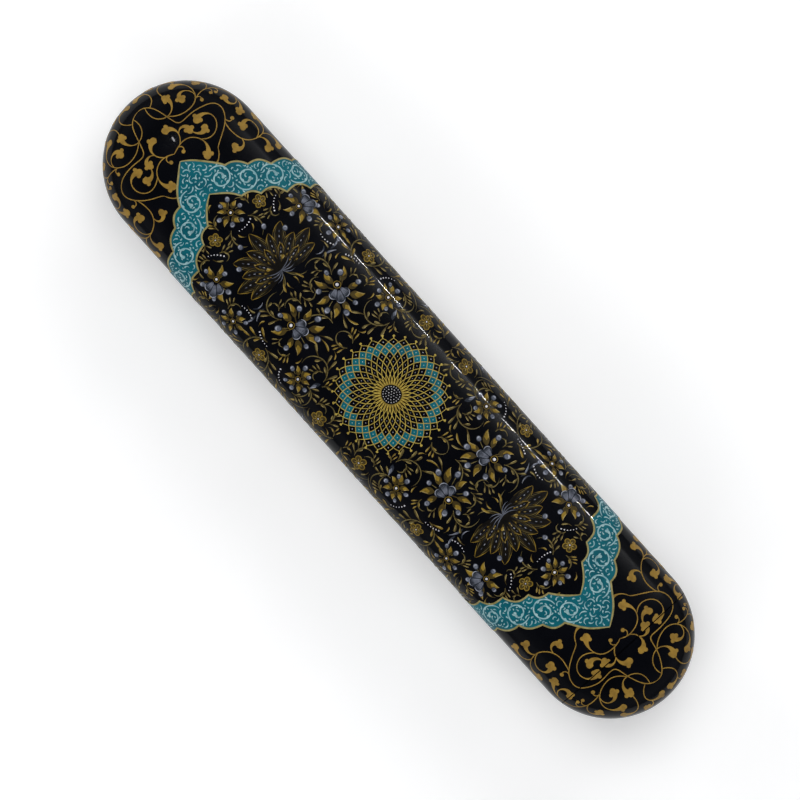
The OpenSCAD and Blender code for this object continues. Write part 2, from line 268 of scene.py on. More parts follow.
@dataclass(frozen=True)
class TrayLacquer(Finish):
    """Red lacquer brushed on pasted paper: satin, streaked along the drawer and browned in patches by use."""

    name: str = "red_lacquer_on_paper"
    slot: str = "tray_lacquer"
    dark: str = "#64190F"
    bright: str = "#8B2A1A"
    browned: str = "#A98C7A"
    unworn: str = "#FFFFFF"
    streak_mm: float = 1.3
    along: tuple[float, float, float] = (0.07, 1.0, 1.0)
    cloud_mm: float = 24.0
    # The paper's tooth; the real one is too fine to show, so this is coarser.
    tooth_mm: float = 0.6

    def dress(self, tree: Tree, shader: Node, place: Socket) -> None:
        """Streaks the red with the brush, browns it in patches and leaves the paper's tooth.

        Args:
            tree: Node tree of the material.
            shader: The material's shader.
            place: Places on the object, in metres.
        """
        drawn = add_node(tree, Kind.STRETCH, {"Scale": self.along}, {"Vector": place})
        brushed = {"Scale": per_mm(self.streak_mm), "Detail": 4.0}
        streak = add_node(tree, Kind.NOISE, brushed, {"Vector": drawn})
        red = add_node(tree, Kind.RAMP, {"ramp": [(0.3, self.dark), (0.7, self.bright)]}, {"Fac": streak})
        cloud = add_node(tree, Kind.NOISE, {"Scale": per_mm(self.cloud_mm), "Detail": 5.0}, {"Vector": place})
        wear = {"ramp": [(0.36, self.browned), (0.58, self.unworn)]}
        worn = add_node(tree, Kind.RAMP, wear, {"Fac": cloud})
        both = add_node(tree, Kind.MIX, MULTIPLY, {MIX_FIRST: red, MIX_SECOND: worn}).outputs[MIX_RESULT]
        tooth = add_node(tree, Kind.NOISE, {"Scale": per_mm(self.tooth_mm), "Detail": 2.0}, {"Vector": place})
        bump = add_node(tree, Kind.BUMP, {"Strength": 0.3, "Distance": 0.08 * MM}, {"Height": tooth})
        rough = add_node(tree, Kind.RANGE, {"To Min": 0.34, "To Max": 0.52}, {"Value": cloud})
        set_up(tree, shader, {"IOR": 1.5}, {"Base Color": both, "Roughness": rough, "Normal": bump})


@dataclass(frozen=True)
class WorkedMetal(Finish):
    """Metal scraped and rubbed by hand: clear where handled, dull in patches, with the tool's fine lines."""

    clear: str = "#C9A65A"
    dull: str = "#8C6C35"
    metal: float = 0.9
    patch_mm: float = 5.0
    # The tool's lines; real ones are too fine to show, so these are coarser.
    line_mm: float = 0.35
    along: tuple[float, float, float] = (1.0, 0.06, 1.0)

    def dress(self, tree: Tree, shader: Node, place: Socket) -> None:
        """Mottles the colour and the roughness, and draws the tool's lines.

        Args:
            tree: Node tree of the material.
            shader: The material's shader.
            place: Places on the object, in metres.
        """
        patch = add_node(tree, Kind.NOISE, {"Scale": per_mm(self.patch_mm), "Detail": 5.0}, {"Vector": place})
        tint = add_node(tree, Kind.RAMP, {"ramp": [(0.36, self.dull), (0.6, self.clear)]}, {"Fac": patch})
        rubbed = {"From Min": 0.3, "From Max": 0.7, "To Min": 0.5, "To Max": 0.26}
        rough = add_node(tree, Kind.RANGE, rubbed, {"Value": patch})
        drawn = add_node(tree, Kind.STRETCH, {"Scale": self.along}, {"Vector": place})
        line = add_node(tree, Kind.NOISE, {"Scale": per_mm(self.line_mm), "Detail": 2.0}, {"Vector": drawn})
        bump = add_node(tree, Kind.BUMP, {"Strength": 0.2, "Distance": 0.03 * MM}, {"Height": line})
        links = {"Base Color": tint, "Roughness": rough, "Normal": bump}
        set_up(tree, shader, {"Metallic": self.metal}, links)


@dataclass(frozen=True)
class DriedReed(Finish):
    """Dried reed rubbed smooth: honey brown, streaked along its fibres, and black with ink at the nib."""

    name: str = "dried_reed"
    slot: str = "reed"
    dark: str = "#6E4117"
    honey: str = "#A06B2E"
    pale: str = "#C1904A"
    ink: str = "#17120F"
    # Fibres; real ones are too fine to show, so these are coarser.
    fibre_mm: float = 0.7
    along: tuple[float, float, float] = (0.02, 1.0, 1.0)
    nib_x: float = -0.09275
    stain_mm: float = 13.0
    ragged_mm: float = 12.0
    blot_mm: float = 3.0

    def dress(self, tree: Tree, shader: Node, place: Socket) -> None:
        """Streaks the reed and stains its nib with a ragged edge of ink.

        Args:
            tree: Node tree of the material.
            shader: The material's shader.
            place: Places on the object, in metres.
        """
        drawn = add_node(tree, Kind.STRETCH, {"Scale": self.along}, {"Vector": place})
        fibre = add_node(tree, Kind.NOISE, {"Scale": per_mm(self.fibre_mm), "Detail": 4.0}, {"Vector": drawn})
        stops = [(0.28, self.dark), (0.5, self.honey), (0.75, self.pale)]
        skin = add_node(tree, Kind.RAMP, {"ramp": stops}, {"Fac": fibre})
        split = add_node(tree, Kind.SPLIT, links={"Vector": place})
        edge = add_node(tree, Kind.NOISE, {"Scale": per_mm(self.blot_mm), "Detail": 3.0}, {"Vector": place})
        shift = {"operation": "MULTIPLY_ADD", 1: self.ragged_mm * MM}
        ragged = add_node(tree, Kind.MATH, shift, {0: edge, 2: split})
        reach = {
            "From Min": self.nib_x + 0.4 * self.stain_mm * MM, "From Max": self.nib_x + self.stain_mm * MM,
            "To Min": 0.94, "To Max": 0.0,
        }
        stain = add_node(tree, Kind.RANGE, reach, {"Value": ragged})
        soaked = {"data_type": "RGBA", MIX_SECOND: linear(self.ink)}
        inked = add_node(tree, Kind.MIX, soaked, {MIX_SHARE: stain, MIX_FIRST: skin}).outputs[MIX_RESULT]
        rough = add_node(tree, Kind.RANGE, {"To Min": 0.32, "To Max": 0.5}, {"Value": fibre})
        bump = add_node(tree, Kind.BUMP, {"Strength": 0.35, "Distance": 0.1 * MM}, {"Height": fibre})
        set_up(tree, shader, {"IOR": 1.5}, {"Base Color": inked, "Roughness": rough, "Normal": bump})


@dataclass(frozen=True)
class SawnBone(Finish):
    """Bone sawn, scraped and oiled: cream, with fine brown canals along it and a soft polish."""

    name: str = "scraped_bone"
    slot: str = "bone"
    canal: str = "#8F7A57"
    cream: str = "#E6D8B6"
    yellowed: str = "#E3CFA0"
    fresh: str = "#FFF8E8"
    # Canals; real ones are too fine to show, so these are coarser.
    canal_mm: float = 0.45
    along: tuple[float, float, float] = (0.05, 1.0, 1.0)
    cloud_mm: float = 9.0

    def dress(self, tree: Tree, shader: Node, place: Socket) -> None:
        """Draws the canals over a cream that yellows in patches.

        Args:
            tree: Node tree of the material.
            shader: The material's shader.
            place: Places on the object, in metres.
        """
        drawn = add_node(tree, Kind.STRETCH, {"Scale": self.along}, {"Vector": place})
        canal = add_node(tree, Kind.NOISE, {"Scale": per_mm(self.canal_mm), "Detail": 3.0}, {"Vector": drawn})
        line = add_node(tree, Kind.RAMP, {"ramp": [(0.3, self.canal), (0.42, self.cream)]}, {"Fac": canal})
        cloud = add_node(tree, Kind.NOISE, {"Scale": per_mm(self.cloud_mm), "Detail": 4.0}, {"Vector": place})
        age = add_node(tree, Kind.RAMP, {"ramp": [(0.35, self.yellowed), (0.65, self.fresh)]}, {"Fac": cloud})
        both = add_node(tree, Kind.MIX, MULTIPLY, {MIX_FIRST: line, MIX_SECOND: age}).outputs[MIX_RESULT]
        rough = add_node(tree, Kind.RANGE, {"To Min": 0.3, "To Max": 0.46}, {"Value": cloud})
        bump = add_node(tree, Kind.BUMP, {"Strength": 0.15, "Distance": 0.05 * MM}, {"Height": canal})
        set_up(tree, shader, {"IOR": 1.54}, {"Base Color": both, "Roughness": rough, "Normal": bump})


@dataclass(frozen=True)
class InkedSilk(Finish):
    """Raw silk floss soaked in ink: blue-black and matt, with a faint sheen on its strands."""

    name: str = "inked_silk_floss"
    slot: str = "inked_silk"
    soaked: str = "#0A0A0E"
    drier: str = "#23222A"
    # Strands; real filaments are too fine to show, so these are coarser.
    strand_mm: float = 0.4

    def dress(self, tree: Tree, shader: Node, place: Socket) -> None:
        """Mottles the black and roughens it with strands.

        Args:
            tree: Node tree of the material.
            shader: The material's shader.
            place: Places on the object, in metres.
        """
        tangle = {"Scale": per_mm(self.strand_mm), "Detail": 4.0, "Distortion": 1.5}
        strand = add_node(tree, Kind.NOISE, tangle, {"Vector": place})
        tint = add_node(tree, Kind.RAMP, {"ramp": [(0.35, self.soaked), (0.7, self.drier)]}, {"Fac": strand})
        rough = add_node(tree, Kind.RANGE, {"To Min": 0.6, "To Max": 0.9}, {"Value": strand})
        bump = add_node(tree, Kind.BUMP, {"Strength": 0.6, "Distance": 0.15 * MM}, {"Height": strand})
        sheen = {"Sheen Weight": 0.3, "Sheen Roughness": 0.4}
        set_up(tree, shader, sheen, {"Base Color": tint, "Roughness": rough, "Normal": bump})


class Tone(Enum):
    """The painter's colours. Each one becomes a piece on every body that it touches."""

    TURQUOISE = VarnishedPaint(name="turquoise_ground", full="#0A606C", thin="#074F5C", load_mm=6.0)
    MIST = VarnishedPaint(name="pale_arabesque", full="#9EBFC1", thin="#6B9AA2")
    EDGE_GOLD = VarnishedPaint(name="edging_gold", full="#9C9160", thin="#7E7444")
    SCROLL_GOLD = VarnishedPaint(name="scroll_gold", full="#9A7A34", thin="#7B602A", load_mm=3.0)
    FINE_GOLD = VarnishedPaint(name="rosette_gold", full="#B8A24C", thin="#98823A")
    OLIVE = VarnishedPaint(name="petal_olive", full="#4A3D1A", thin="#2E2611")
    MOSS = VarnishedPaint(name="stem_moss", full="#6C6038", thin="#4A4226")
    OCHRE = VarnishedPaint(name="petal_ochre", full="#8E7428", thin="#6B561E")
    STRAW = VarnishedPaint(name="petal_straw", full="#AC9960", thin="#857342")
    UMBER = VarnishedPaint(name="lotus_umber", full="#120F0B", thin="#0A0908")
    SLATE = VarnishedPaint(name="petal_slate", full="#2C313A", thin="#1B1F26")
    SILVER = VarnishedPaint(name="petal_silver", full="#6D717D", thin="#484C56")
    PEARL = VarnishedPaint(name="petal_pearl", full="#A8ABB5", thin="#7C808C")
    WHITE = VarnishedPaint(name="white_beads", full="#DCDADC", thin="#B3B2BA")
    GROUND = VarnishedPaint(name="black_ground_paint", full="#07080B", thin="#040507")


class Taper(Enum):
    """How a brush stroke's width runs from its start to its end."""

    EVEN = "even"
    POINTED = "pointed"
    FADING = "fading"
    SWELLING = "swelling"
    LEAF = "leaf"
    CLUB = "club"
    VINE = "vine"

    def widths(self, count: int) -> np.ndarray:
        """Gives the share of the full width at each point.

        Args:
            count: Number of points along the stroke.

        Returns:
            One share for each point, never quite zero.
        """
        t = np.linspace(0.0, 1.0, count)
        shares = {
            Taper.EVEN: np.minimum(1.0, 0.5 + 9.0 * np.minimum(t, 1.0 - t)),
            Taper.POINTED: np.sin(np.pi * t) ** 0.8,
            Taper.FADING: (1.0 - t) ** 0.7,
            Taper.SWELLING: t ** 0.8 * (1.0 - t ** 12),
            Taper.LEAF: np.abs(np.sin(np.pi * t ** 0.72)) ** 1.15,
            Taper.CLUB: (0.12 + 0.88 * t ** 1.1) * np.sqrt(np.maximum(1.0 - t ** 6, 0.0)),
            Taper.VINE: np.minimum(0.4 + 1.2 * t, 1.0) * (1.0 - t ** 3),
        }
        return np.maximum(shares[self], 0.06)


class Face(Enum):
    """Which flat drawing a stroke belongs to."""

    TOP = "along the box and round from its crown line"
    WALL = "round the outline and down from the shoulder"


def run_along(path: Flat) -> np.ndarray:
    """Gives the length of a path up to each of its points."""
    return np.append(0.0, np.cumsum(np.abs(np.diff(path))))


def leftward(path: Flat) -> Flat:
    """Gives the direction to the left of a path, at each of its points."""
    along = np.gradient(path)
    return 1j * along / np.maximum(np.abs(along), TINY)


def toward(angle: float) -> complex:
    """Gives a direction, of length 1, from its angle in degrees."""
    return np.exp(1j * math.radians(angle))


def unit(step: complex) -> complex:
    """Gives the direction of a step, of length 1."""
    return step / abs(step)


def angle_of(step: complex) -> float:
    """Gives the angle of a step, in degrees."""
    return math.degrees(np.angle(step))


def ribbon(path: Flat, side: Flat, count: int) -> Flat:
    """Spreads a path by the same step to both sides, in rows of so many points."""
    return path[:, None] + side[:, None] * np.linspace(1.0, -1.0, count)


def between(one: Flat, two: Flat, count: int) -> Flat:
    """Fills the ground between two lines, in rows of so many points."""
    share = np.linspace(0.0, 1.0, count)
    return one[:, None] * (1 - share) + two[:, None] * share


def sweep(
    root: complex, heading: float, length: float, turn: float, tighten: float = 1.4, step: float = 0.55
) -> Flat:
    """Draws a stem that sets off one way and curls as it goes.

    Args:
        root: Where the stem starts.
        heading: Direction at the start, in degrees.
        length: Length of the stem, in millimetres.
        turn: How far it turns over its length, in degrees.
        tighten: Above 1 the curl comes late, as in a hook.
        step: Greatest spacing of the result, in millimetres.

    Returns:
        The stem's points.
    """
    count = max(6, int(length / step) + 1)
    t = (np.arange(count) + 0.5) / count
    angles = np.radians(heading + turn * t ** tighten)
    return root + np.append(0.0, np.cumsum(np.exp(1j * angles)) * length / count)


def spiral(centre: complex, start: float, stop: float, angle: float, turns: float, count: int = 34) -> Flat:
    """Draws a spiral.

    Args:
        centre: Centre of the spiral.
        start: First radius, in millimetres.
        stop: Last radius, in millimetres.
        angle: First angle, in degrees.
        turns: Turns, positive for anticlockwise.
        count: Number of points.

    Returns:
        The spiral's points.
    """
    t = np.linspace(0.0, 1.0, count)
    bend = math.radians(angle) + 2 * np.pi * turns * t
    return centre + (start + (stop - start) * t) * np.exp(1j * bend)


def resample(path: Flat, count: int) -> Flat:
    """Spaces a path's points evenly.

    Args:
        path: Points of the path.
        count: Number of points wanted.

    Returns:
        The new points, from the same start to the same end.
    """
    run = run_along(path)
    want = np.linspace(0.0, run[-1], count)
    return np.interp(want, run, path.real) + 1j * np.interp(want, run, path.imag)


def place_object(name: str, data: bpy.types.ID) -> Piece:
    """Makes an object of a mesh, lamp or camera, and puts it in the scene.

    Args:
        name: Name of the object.
        data: What it shows.

    Returns:
        The object.
    """
    made = bpy.data.objects.new(name, data)
    bpy.context.scene.collection.objects.link(made)
    return made


def keep_side(work: Work, where: float, keep_low: bool) -> None:
    """Cuts a mesh across the box and drops one side.

    Args:
        work: Mesh to cut.
        where: Place of the cut along the box, in metres.
        keep_low: True to keep the side of the sleeve.
    """
    bmesh.ops.bisect_plane(
        work, geom=[*work.verts, *work.edges, *work.faces], dist=1e-7, plane_co=(where, 0, 0),
        plane_no=(1, 0, 0), clear_outer=keep_low, clear_inner=not keep_low,
    )


def close_tube(work: Work, rings: list[list[bmesh.types.BMVert]]) -> None:
    """Joins rings of points into a closed skin.

    Args:
        work: Mesh that the points are in.
        rings: Rings of as many points each; the first and the last are capped.
    """
    for one, two in zip(rings, rings[1:]):
        for corners in zip(one, one[1:] + one[:1], two[1:] + two[:1], two):
            work.faces.new(corners)
    work.faces.new(rings[0])
    work.faces.new(rings[-1])


def smooth_piece(work: Work, name: str, crease: float = 180.0) -> Piece:
    """Makes a smooth piece of a mesh, which is freed.

    Args:
        work: Finished mesh.
        name: Name of the piece.
        crease: Fold from which an edge stays sharp, in degrees.

    Returns:
        The piece.
    """
    bmesh.ops.recalc_face_normals(work, faces=work.faces)
    for face in work.faces:
        face.smooth = True
    for edge in work.edges:
        edge.smooth = len(edge.link_faces) == 2 and edge.calc_face_angle(0.0) < math.radians(crease)
    mesh = bpy.data.meshes.new(name)
    work.to_mesh(mesh)
    work.free()
    return place_object(name, mesh)


@dataclass(frozen=True)
class BoxSkin:
    """A round-ended, crowned box surface, in millimetres, and how a flat drawing lies on it."""

    length: float
    width: float
    height: float
    crown_r: float = 60.0
    shoulder_r: float = 9.0
    base_r: float = 4.0
    base_z: float = 0.0

    @property
    def half(self) -> float:
        """Half the width."""
        return self.width / 2

    @property
    def end_x(self) -> float:
        """Distance from the middle to the centre of a round end."""
        return (self.length - self.width) / 2

    @property
    def shoulder_at(self) -> tuple[float, float]:
        """Finds the shoulder's round.

        Returns:
            Its centre, across and up.
        """
        across = self.half - self.shoulder_r
        reach = self.crown_r - self.shoulder_r
        return across, self.base_z + self.height - self.crown_r + math.sqrt(reach ** 2 - across ** 2)

    @property
    def lengths(self) -> tuple[float, float, float, float, float]:
        """Measures the half section down from the crown line.

        Returns:
            Arc length to the end of crown, shoulder, wall, base round and base.
        """
        across, up = self.shoulder_at
        turn = math.asin(across / (self.crown_r - self.shoulder_r))
        crown = self.crown_r * turn
        shoulder = crown + self.shoulder_r * (math.pi / 2 - turn)
        wall = shoulder + up - self.base_z - self.base_r
        base = wall + self.base_r * math.pi / 2
        return crown, shoulder, wall, base, base + self.half - self.base_r

    def section(self, s: np.ndarray) -> tuple[np.ndarray, np.ndarray, np.ndarray, np.ndarray]:
        """Follows the cross-section down from the crown line.

        Args:
            s: Arc lengths from the crown line.

        Returns:
            Distance from the middle, height, and the outward normal's two parts.
        """
        across, up = self.shoulder_at
        crown, shoulder, wall, base, _ = self.lengths
        top = s / self.crown_r
        bend = crown / self.crown_r + (s - crown) / self.shoulder_r
        foot = (s - wall) / self.base_r
        one, none = np.ones_like(s), np.zeros_like(s)
        zones = [s < crown, s < shoulder, s < wall, s < base]
        out = np.select(zones, [np.sin(top), np.sin(bend), one, np.cos(foot)], none)
        rise = np.select(zones, [np.cos(top), np.cos(bend), none, -np.sin(foot)], -one)
        inner = self.half - self.base_r
        reaches = [
            self.crown_r * out, across + self.shoulder_r * out, self.half * one, inner + self.base_r * out,
        ]
        far = np.select(zones, reaches, inner - (s - base))
        high = self.base_z + self.height - self.crown_r
        heights = [
            high + self.crown_r * rise, up + self.shoulder_r * rise, up - (s - shoulder),
            self.base_z + self.base_r * (1 + rise),
        ]
        return far, np.select(zones, heights, self.base_z * one), out, rise

    def lay(self, flat: Flat, lift: float, face: Face) -> np.ndarray:
        """Lays drawn points on the surface.

        Args:
            flat: Points of the drawing.
            lift: Height above the surface, in millimetres.
            face: Which drawing the points belong to.

        Returns:
            Rows of x, y and z in metres.
        """
        if face is Face.TOP:
            beyond = np.maximum(np.abs(flat.real) - self.end_x, 0.0) * np.sign(flat.real)
            s = np.hypot(beyond, flat.imag)
            safe = np.maximum(s, TINY)
            toward_x, toward_y = beyond / safe, flat.imag / safe
            base_x = np.clip(flat.real, -self.end_x, self.end_x)
        else:
            side, arc = 2 * self.end_x, math.pi * self.half
            t = np.mod(flat.real, 2 * (side + arc))
            zones = [t < side, t < side + arc, t < 2 * side + arc]
            left = np.full_like(t, np.pi / 2)
            turns = [left, left + (t - side) / self.half, -left]
            angles = np.select(zones, turns, (t - 2 * side - arc) / self.half - left)
            run = [self.end_x - t, np.full_like(t, -self.end_x), t - side - arc - self.end_x]
            base_x = np.select(zones, run, self.end_x)
            toward_x, toward_y = np.cos(angles), np.sin(angles)
            s = self.lengths[1] + flat.imag
        far, level, out, rise = self.section(s)
        reach = far + lift * out
        corners = [base_x + reach * toward_x, reach * toward_y, level + lift * rise]
        return np.stack(corners, axis=-1) * MM

    def normals(self, points: np.ndarray) -> np.ndarray:
        """Gives the surface's outward normal near each point.

        Args:
            points: Rows of x, y and z in metres.

        Returns:
            Rows of unit normals.
        """
        x, y, z = (points / MM).T
        beyond = np.maximum(np.abs(x) - self.end_x, 0.0) * np.sign(x)
        far = np.maximum(np.hypot(beyond, y), TINY)
        across, up = self.shoulder_at
        high = self.base_z + self.height - self.crown_r
        slope = math.tan(self.lengths[0] / self.crown_r)
        zones = [far < slope * (z - high), z > up, z > self.base_z + self.base_r]
        inner = self.half - self.base_r
        out = np.select(zones, [far, far - across, np.ones_like(far)], far - inner)
        rise = np.select(zones, [z - high, z - up, np.zeros_like(far)], z - self.base_z - self.base_r)
        size = np.maximum(np.hypot(out, rise), TINY)
        return np.stack([out / size * beyond / far, out / size * y / far, rise / size], axis=-1)

    def profile(self, steps: Sequence[int]) -> list[tuple[float, float]]:
        """Lists the half section from the crown line to the middle of the base.

        Args:
            steps: Number of steps in crown, shoulder, wall, base round and base.

        Returns:
            Pairs of distance from the middle and height.
        """
        stops = [0.0, *self.lengths]
        marks = [np.linspace(a, b, n, endpoint=False) for a, b, n in zip(stops, stops[1:], steps)]
        far, level, _, _ = self.section(np.append(np.concatenate(marks), stops[-1] - TINY))
        return list(zip(np.maximum(far, 0.0).tolist(), level.tolist()))


@dataclass(frozen=True)
class Copy:
    """One placing of a symmetrical drawing."""

    flip_u: bool = False
    flip_v: bool = False
    shift: complex = 0.0

    def place(self, flat: Flat) -> Flat:
        """Flips and moves drawn points.

        Args:
            flat: Points of the drawing.

        Returns:
            The points in this placing.
        """
        along = -flat.real if self.flip_u else flat.real
        across = -flat.imag if self.flip_v else flat.imag
        return along + 1j * across + self.shift


class Plan:
    """Remembers which ground of a drawing is taken, so that fillers keep clear of what is painted."""

    def __init__(self, width: float, height: float, cell: float = 0.45) -> None:
        """Starts with free ground.

        Args:
            width: Extent along the box, in millimetres.
            height: Extent across the box.
            cell: Size of one cell.
        """
        self.cell = cell
        self.taken = np.zeros((int(width / cell) + 1, int(height / cell) + 1), bool)

    def ground(self) -> Flat:
        """Lists the middle of every cell."""
        i, j = np.indices(self.taken.shape)
        return (i + 0.5 + 1j * (j + 0.5)) * self.cell

    def edge_at(self, edge: Flat) -> np.ndarray:
        """Gives how far along the box an edge is, level with every cell."""
        return np.interp(self.ground().imag, edge.imag, edge.real)

    def mark(self, points: Flat) -> None:
        """Takes the ground at points and half a cell round them.

        Args:
            points: Drawn points.
        """
        for nudge in (0.5, -0.5, 0.5j, -0.5j):
            inside, i, j = self.find(points + nudge * self.cell)
            self.taken[i[inside], j[inside]] = True

    def find(self, points: Flat) -> tuple[np.ndarray, np.ndarray, np.ndarray]:
        """Finds the cells of points.

        Args:
            points: Drawn points.

        Returns:
            Which points are on the plan, and the two cell numbers of each, kept within it.
        """
        flat = np.ravel(points)
        i = np.floor(flat.real / self.cell).astype(int)
        j = np.floor(flat.imag / self.cell).astype(int)
        last_i, last_j = self.taken.shape[0] - 1, self.taken.shape[1] - 1
        inside = (i >= 0) & (j >= 0) & (i <= last_i) & (j <= last_j)
        return inside, np.clip(i, 0, last_i), np.clip(j, 0, last_j)

    def crowding(self, points: Flat) -> float:
        """Gives the share of points that lie on taken ground or off the plan."""
        inside, i, j = self.find(points)
        return float(np.mean(self.taken[i, j] | ~inside))

    def shore(self) -> Flat:
        """Finds where something new can grow.

        Returns:
            The middles of free cells that lie beside taken ones.
        """
        near = np.zeros_like(self.taken)
        for shift in (1, -1, 2, -2):
            for axis in (0, 1):
                near |= np.roll(self.taken, shift, axis)
        return self.ground()[near & ~self.taken]


class Brushwork:
    """Collects brush strokes by tone and lays them on the box as thin sheets."""

    # Radius up to which a dab needs few faces, in millimetres.
    small_dab = 0.4

    def __init__(self, skin: BoxSkin, seam: float, gap: float) -> None:
        """Starts with nothing painted.

        Args:
            skin: Surface to paint.
            seam: Where the sleeve ends along the box, in millimetres.
            gap: Width of the seam.
        """
        self.skin = skin
        self.seam = seam
        self.gap = gap
        self.face = Face.TOP
        self.copies: list[Copy] = [Copy()]
        self.plan: Optional[Plan] = None
        self.sheets: dict[Tone, list[tuple[np.ndarray, np.ndarray]]] = {}

    @staticmethod
    def waver(flat: Flat) -> Flat:
        """Moves points by the small drift of a hand, so that no two repeats are quite alike.

        Args:
            flat: Points of the drawing.

        Returns:
            The moved points.
        """
        u, v = flat.real, flat.imag
        drift_u = np.sin(0.31 * u + 0.53 * v + 1.1) + 0.5 * np.sin(0.83 * v - 0.19 * u)
        drift_v = np.sin(0.43 * u - 0.37 * v + 2.3) + 0.5 * np.sin(0.71 * u + 0.23 * v)
        return flat + HAND_DRIFT * (drift_u + 1j * drift_v)

    def grid(self, tone: Tone, rows: Flat, layer: float) -> None:
        """Adds a sheet of drawn points.

        Args:
            tone: Colour of the sheet.
            rows: Two-dimensional array of drawn points.
            layer: Coat that it lies in; higher covers lower.
        """
        index = np.arange(rows.size).reshape(rows.shape)
        cells = [index[:-1, :-1], index[1:, :-1], index[1:, 1:], index[:-1, 1:]]
        quads = np.stack([c.ravel() for c in cells], axis=1)
        if self.plan is not None:
            self.plan.mark(rows)
        for copy in self.copies:
            flat = self.waver(copy.place(rows)).ravel()
            corner = flat[quads]
            first, second = corner[:, 2] - corner[:, 0], corner[:, 3] - corner[:, 1]
            turn = first.real * second.imag - first.imag * second.real
            wrong = turn < 0 if self.face is Face.TOP else turn > 0
            faces = np.where(wrong[:, None], quads[:, ::-1], quads)
            points = self.skin.lay(flat, layer * COAT_STEP, self.face)
            self.sheets.setdefault(tone, []).append((points, faces))

    def stroke(
        self, tone: Tone, path: Flat, width: float, taper: Taper = Taper.EVEN, layer: float = 2,
        across: int = 1,
    ) -> None:
        """Paints a stroke along a path.

        Args:
            tone: Colour of the stroke.
            path: Points of its middle line.
            width: Full width, in millimetres.
            taper: How the width runs.
            layer: Coat that it lies in.
            across: Number of faces across the stroke.
        """
        half = 0.5 * width * taper.widths(len(path))
        self.grid(tone, ribbon(path, leftward(path) * half, across + 1), layer)

    def dot(
        self, tone: Tone, at: complex, radius: float, layer: float = 3, sides: int = 8, long: complex = 1.0
    ) -> None:
        """Paints a round or oval dab.

        Args:
            tone: Colour of the dab.
            at: Its middle.
            radius: Radius across, in millimetres.
            layer: Coat that it lies in.
            sides: Number of corners, an even number.
            long: Direction of the longer axis, as long as the axis is longer than the other.
        """
        angles = (np.arange(sides) + 0.5) * 2 * np.pi / sides
        ring = at + radius * (abs(long) * np.cos(angles) + 1j * np.sin(angles)) * unit(long)
        left, right = ring[:sides // 2], ring[::-1][:sides // 2]
        self.grid(tone, between(left, right, 4 if radius > self.small_dab else 2), layer)

    def ring(
        self, tone: Tone, at: complex, radius: float, width: float, layer: float = 3, count: int = 20
    ) -> None:
        """Paints a ring.

        Args:
            tone: Colour of the ring.
            at: Its middle.
            radius: Radius of the line's middle, in millimetres.
            width: Width of the line.
            layer: Coat that it lies in.
            count: Number of faces.
        """
        turn = np.exp(1j * np.linspace(0.0, 2 * np.pi, count + 1))
        rims = [(radius + width / 2) * turn, (radius - width / 2) * turn]
        self.grid(tone, at + np.stack(rims, axis=1), layer)

    def beads(
        self, path: Flat, count: int, first: float, last: float, tone: Tone = Tone.WHITE, layer: float = 3
    ) -> None:
        """Sets a row of dots along a path.

        Args:
            path: Points of the row's line.
            count: Number of dots.
            first: Radius of the first dot, in millimetres.
            last: Radius of the last dot.
            tone: Colour of the dots.
            layer: Coat that they lie in.
        """
        for at, radius in zip(resample(path, count), np.linspace(first, last, count)):
            self.dot(tone, at, radius, layer, sides=6)

    def hang(self) -> list[Piece]:
        """Makes the sheets, cut at the seam so that each rides with the sleeve or the drawer.

        Returns:
            The new pieces.
        """
        sides = (("case", self.seam - BARE_LIP, True), ("drawer", self.seam + self.gap + BARE_LIP, False))
        made = []
        for tone, parts in self.sheets.items():
            starts = np.cumsum([0] + [len(p) for p, _ in parts[:-1]])
            points = np.concatenate([p for p, _ in parts])
            faces = np.concatenate([f + s for (_, f), s in zip(parts, starts)])
            for body, where, keep_low in sides:
                piece = self.cut(f"{tone.value.name}_{body}", points, faces, where * MM, keep_low)
                if piece is None:
                    continue
                piece.data.materials.append(tone.value.material())
                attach(piece, body)
                made.append(piece)
        return made

    def cut(
        self, name: str, points: np.ndarray, faces: np.ndarray, where: float, keep_low: bool
    ) -> Optional[Piece]:
        """Makes the part of a sheet on one side of the seam.

        Args:
            name: Name of the piece.
            points: Rows of x, y and z in metres.
            faces: Rows of four corner numbers.
            where: Place of the cut along the box, in metres.
            keep_low: True to keep the side of the sleeve.

        Returns:
            The piece, or None if nothing of the sheet is on that side.
        """
        side = points[:, 0] < where if keep_low else points[:, 0] > where
        touched = faces[side[faces].any(axis=1)]
        if not len(touched):
            return None
        used, inverse = np.unique(touched, return_inverse=True)
        mesh = bpy.data.meshes.new(name)
        mesh.from_pydata(points[used].tolist(), [], inverse.reshape(-1, 4).tolist())
        work = bmesh.new()
        work.from_mesh(mesh)
        keep_side(work, where, keep_low)
        work.to_mesh(mesh)
        work.free()
        mesh.polygons.foreach_set("use_smooth", [True] * len(mesh.polygons))
        flat = np.empty(len(mesh.vertices) * 3)
        mesh.vertices.foreach_get("co", flat)
        mesh.normals_split_custom_set_from_vertices(self.skin.normals(flat.reshape(-1, 3)).tolist())
        return place_object(name, mesh)


class Motif:
    """Something that a brush can paint."""

    def paint(self, brush: Brushwork) -> None:
        """Paints it; each kind has its own way."""
        raise NotImplementedError


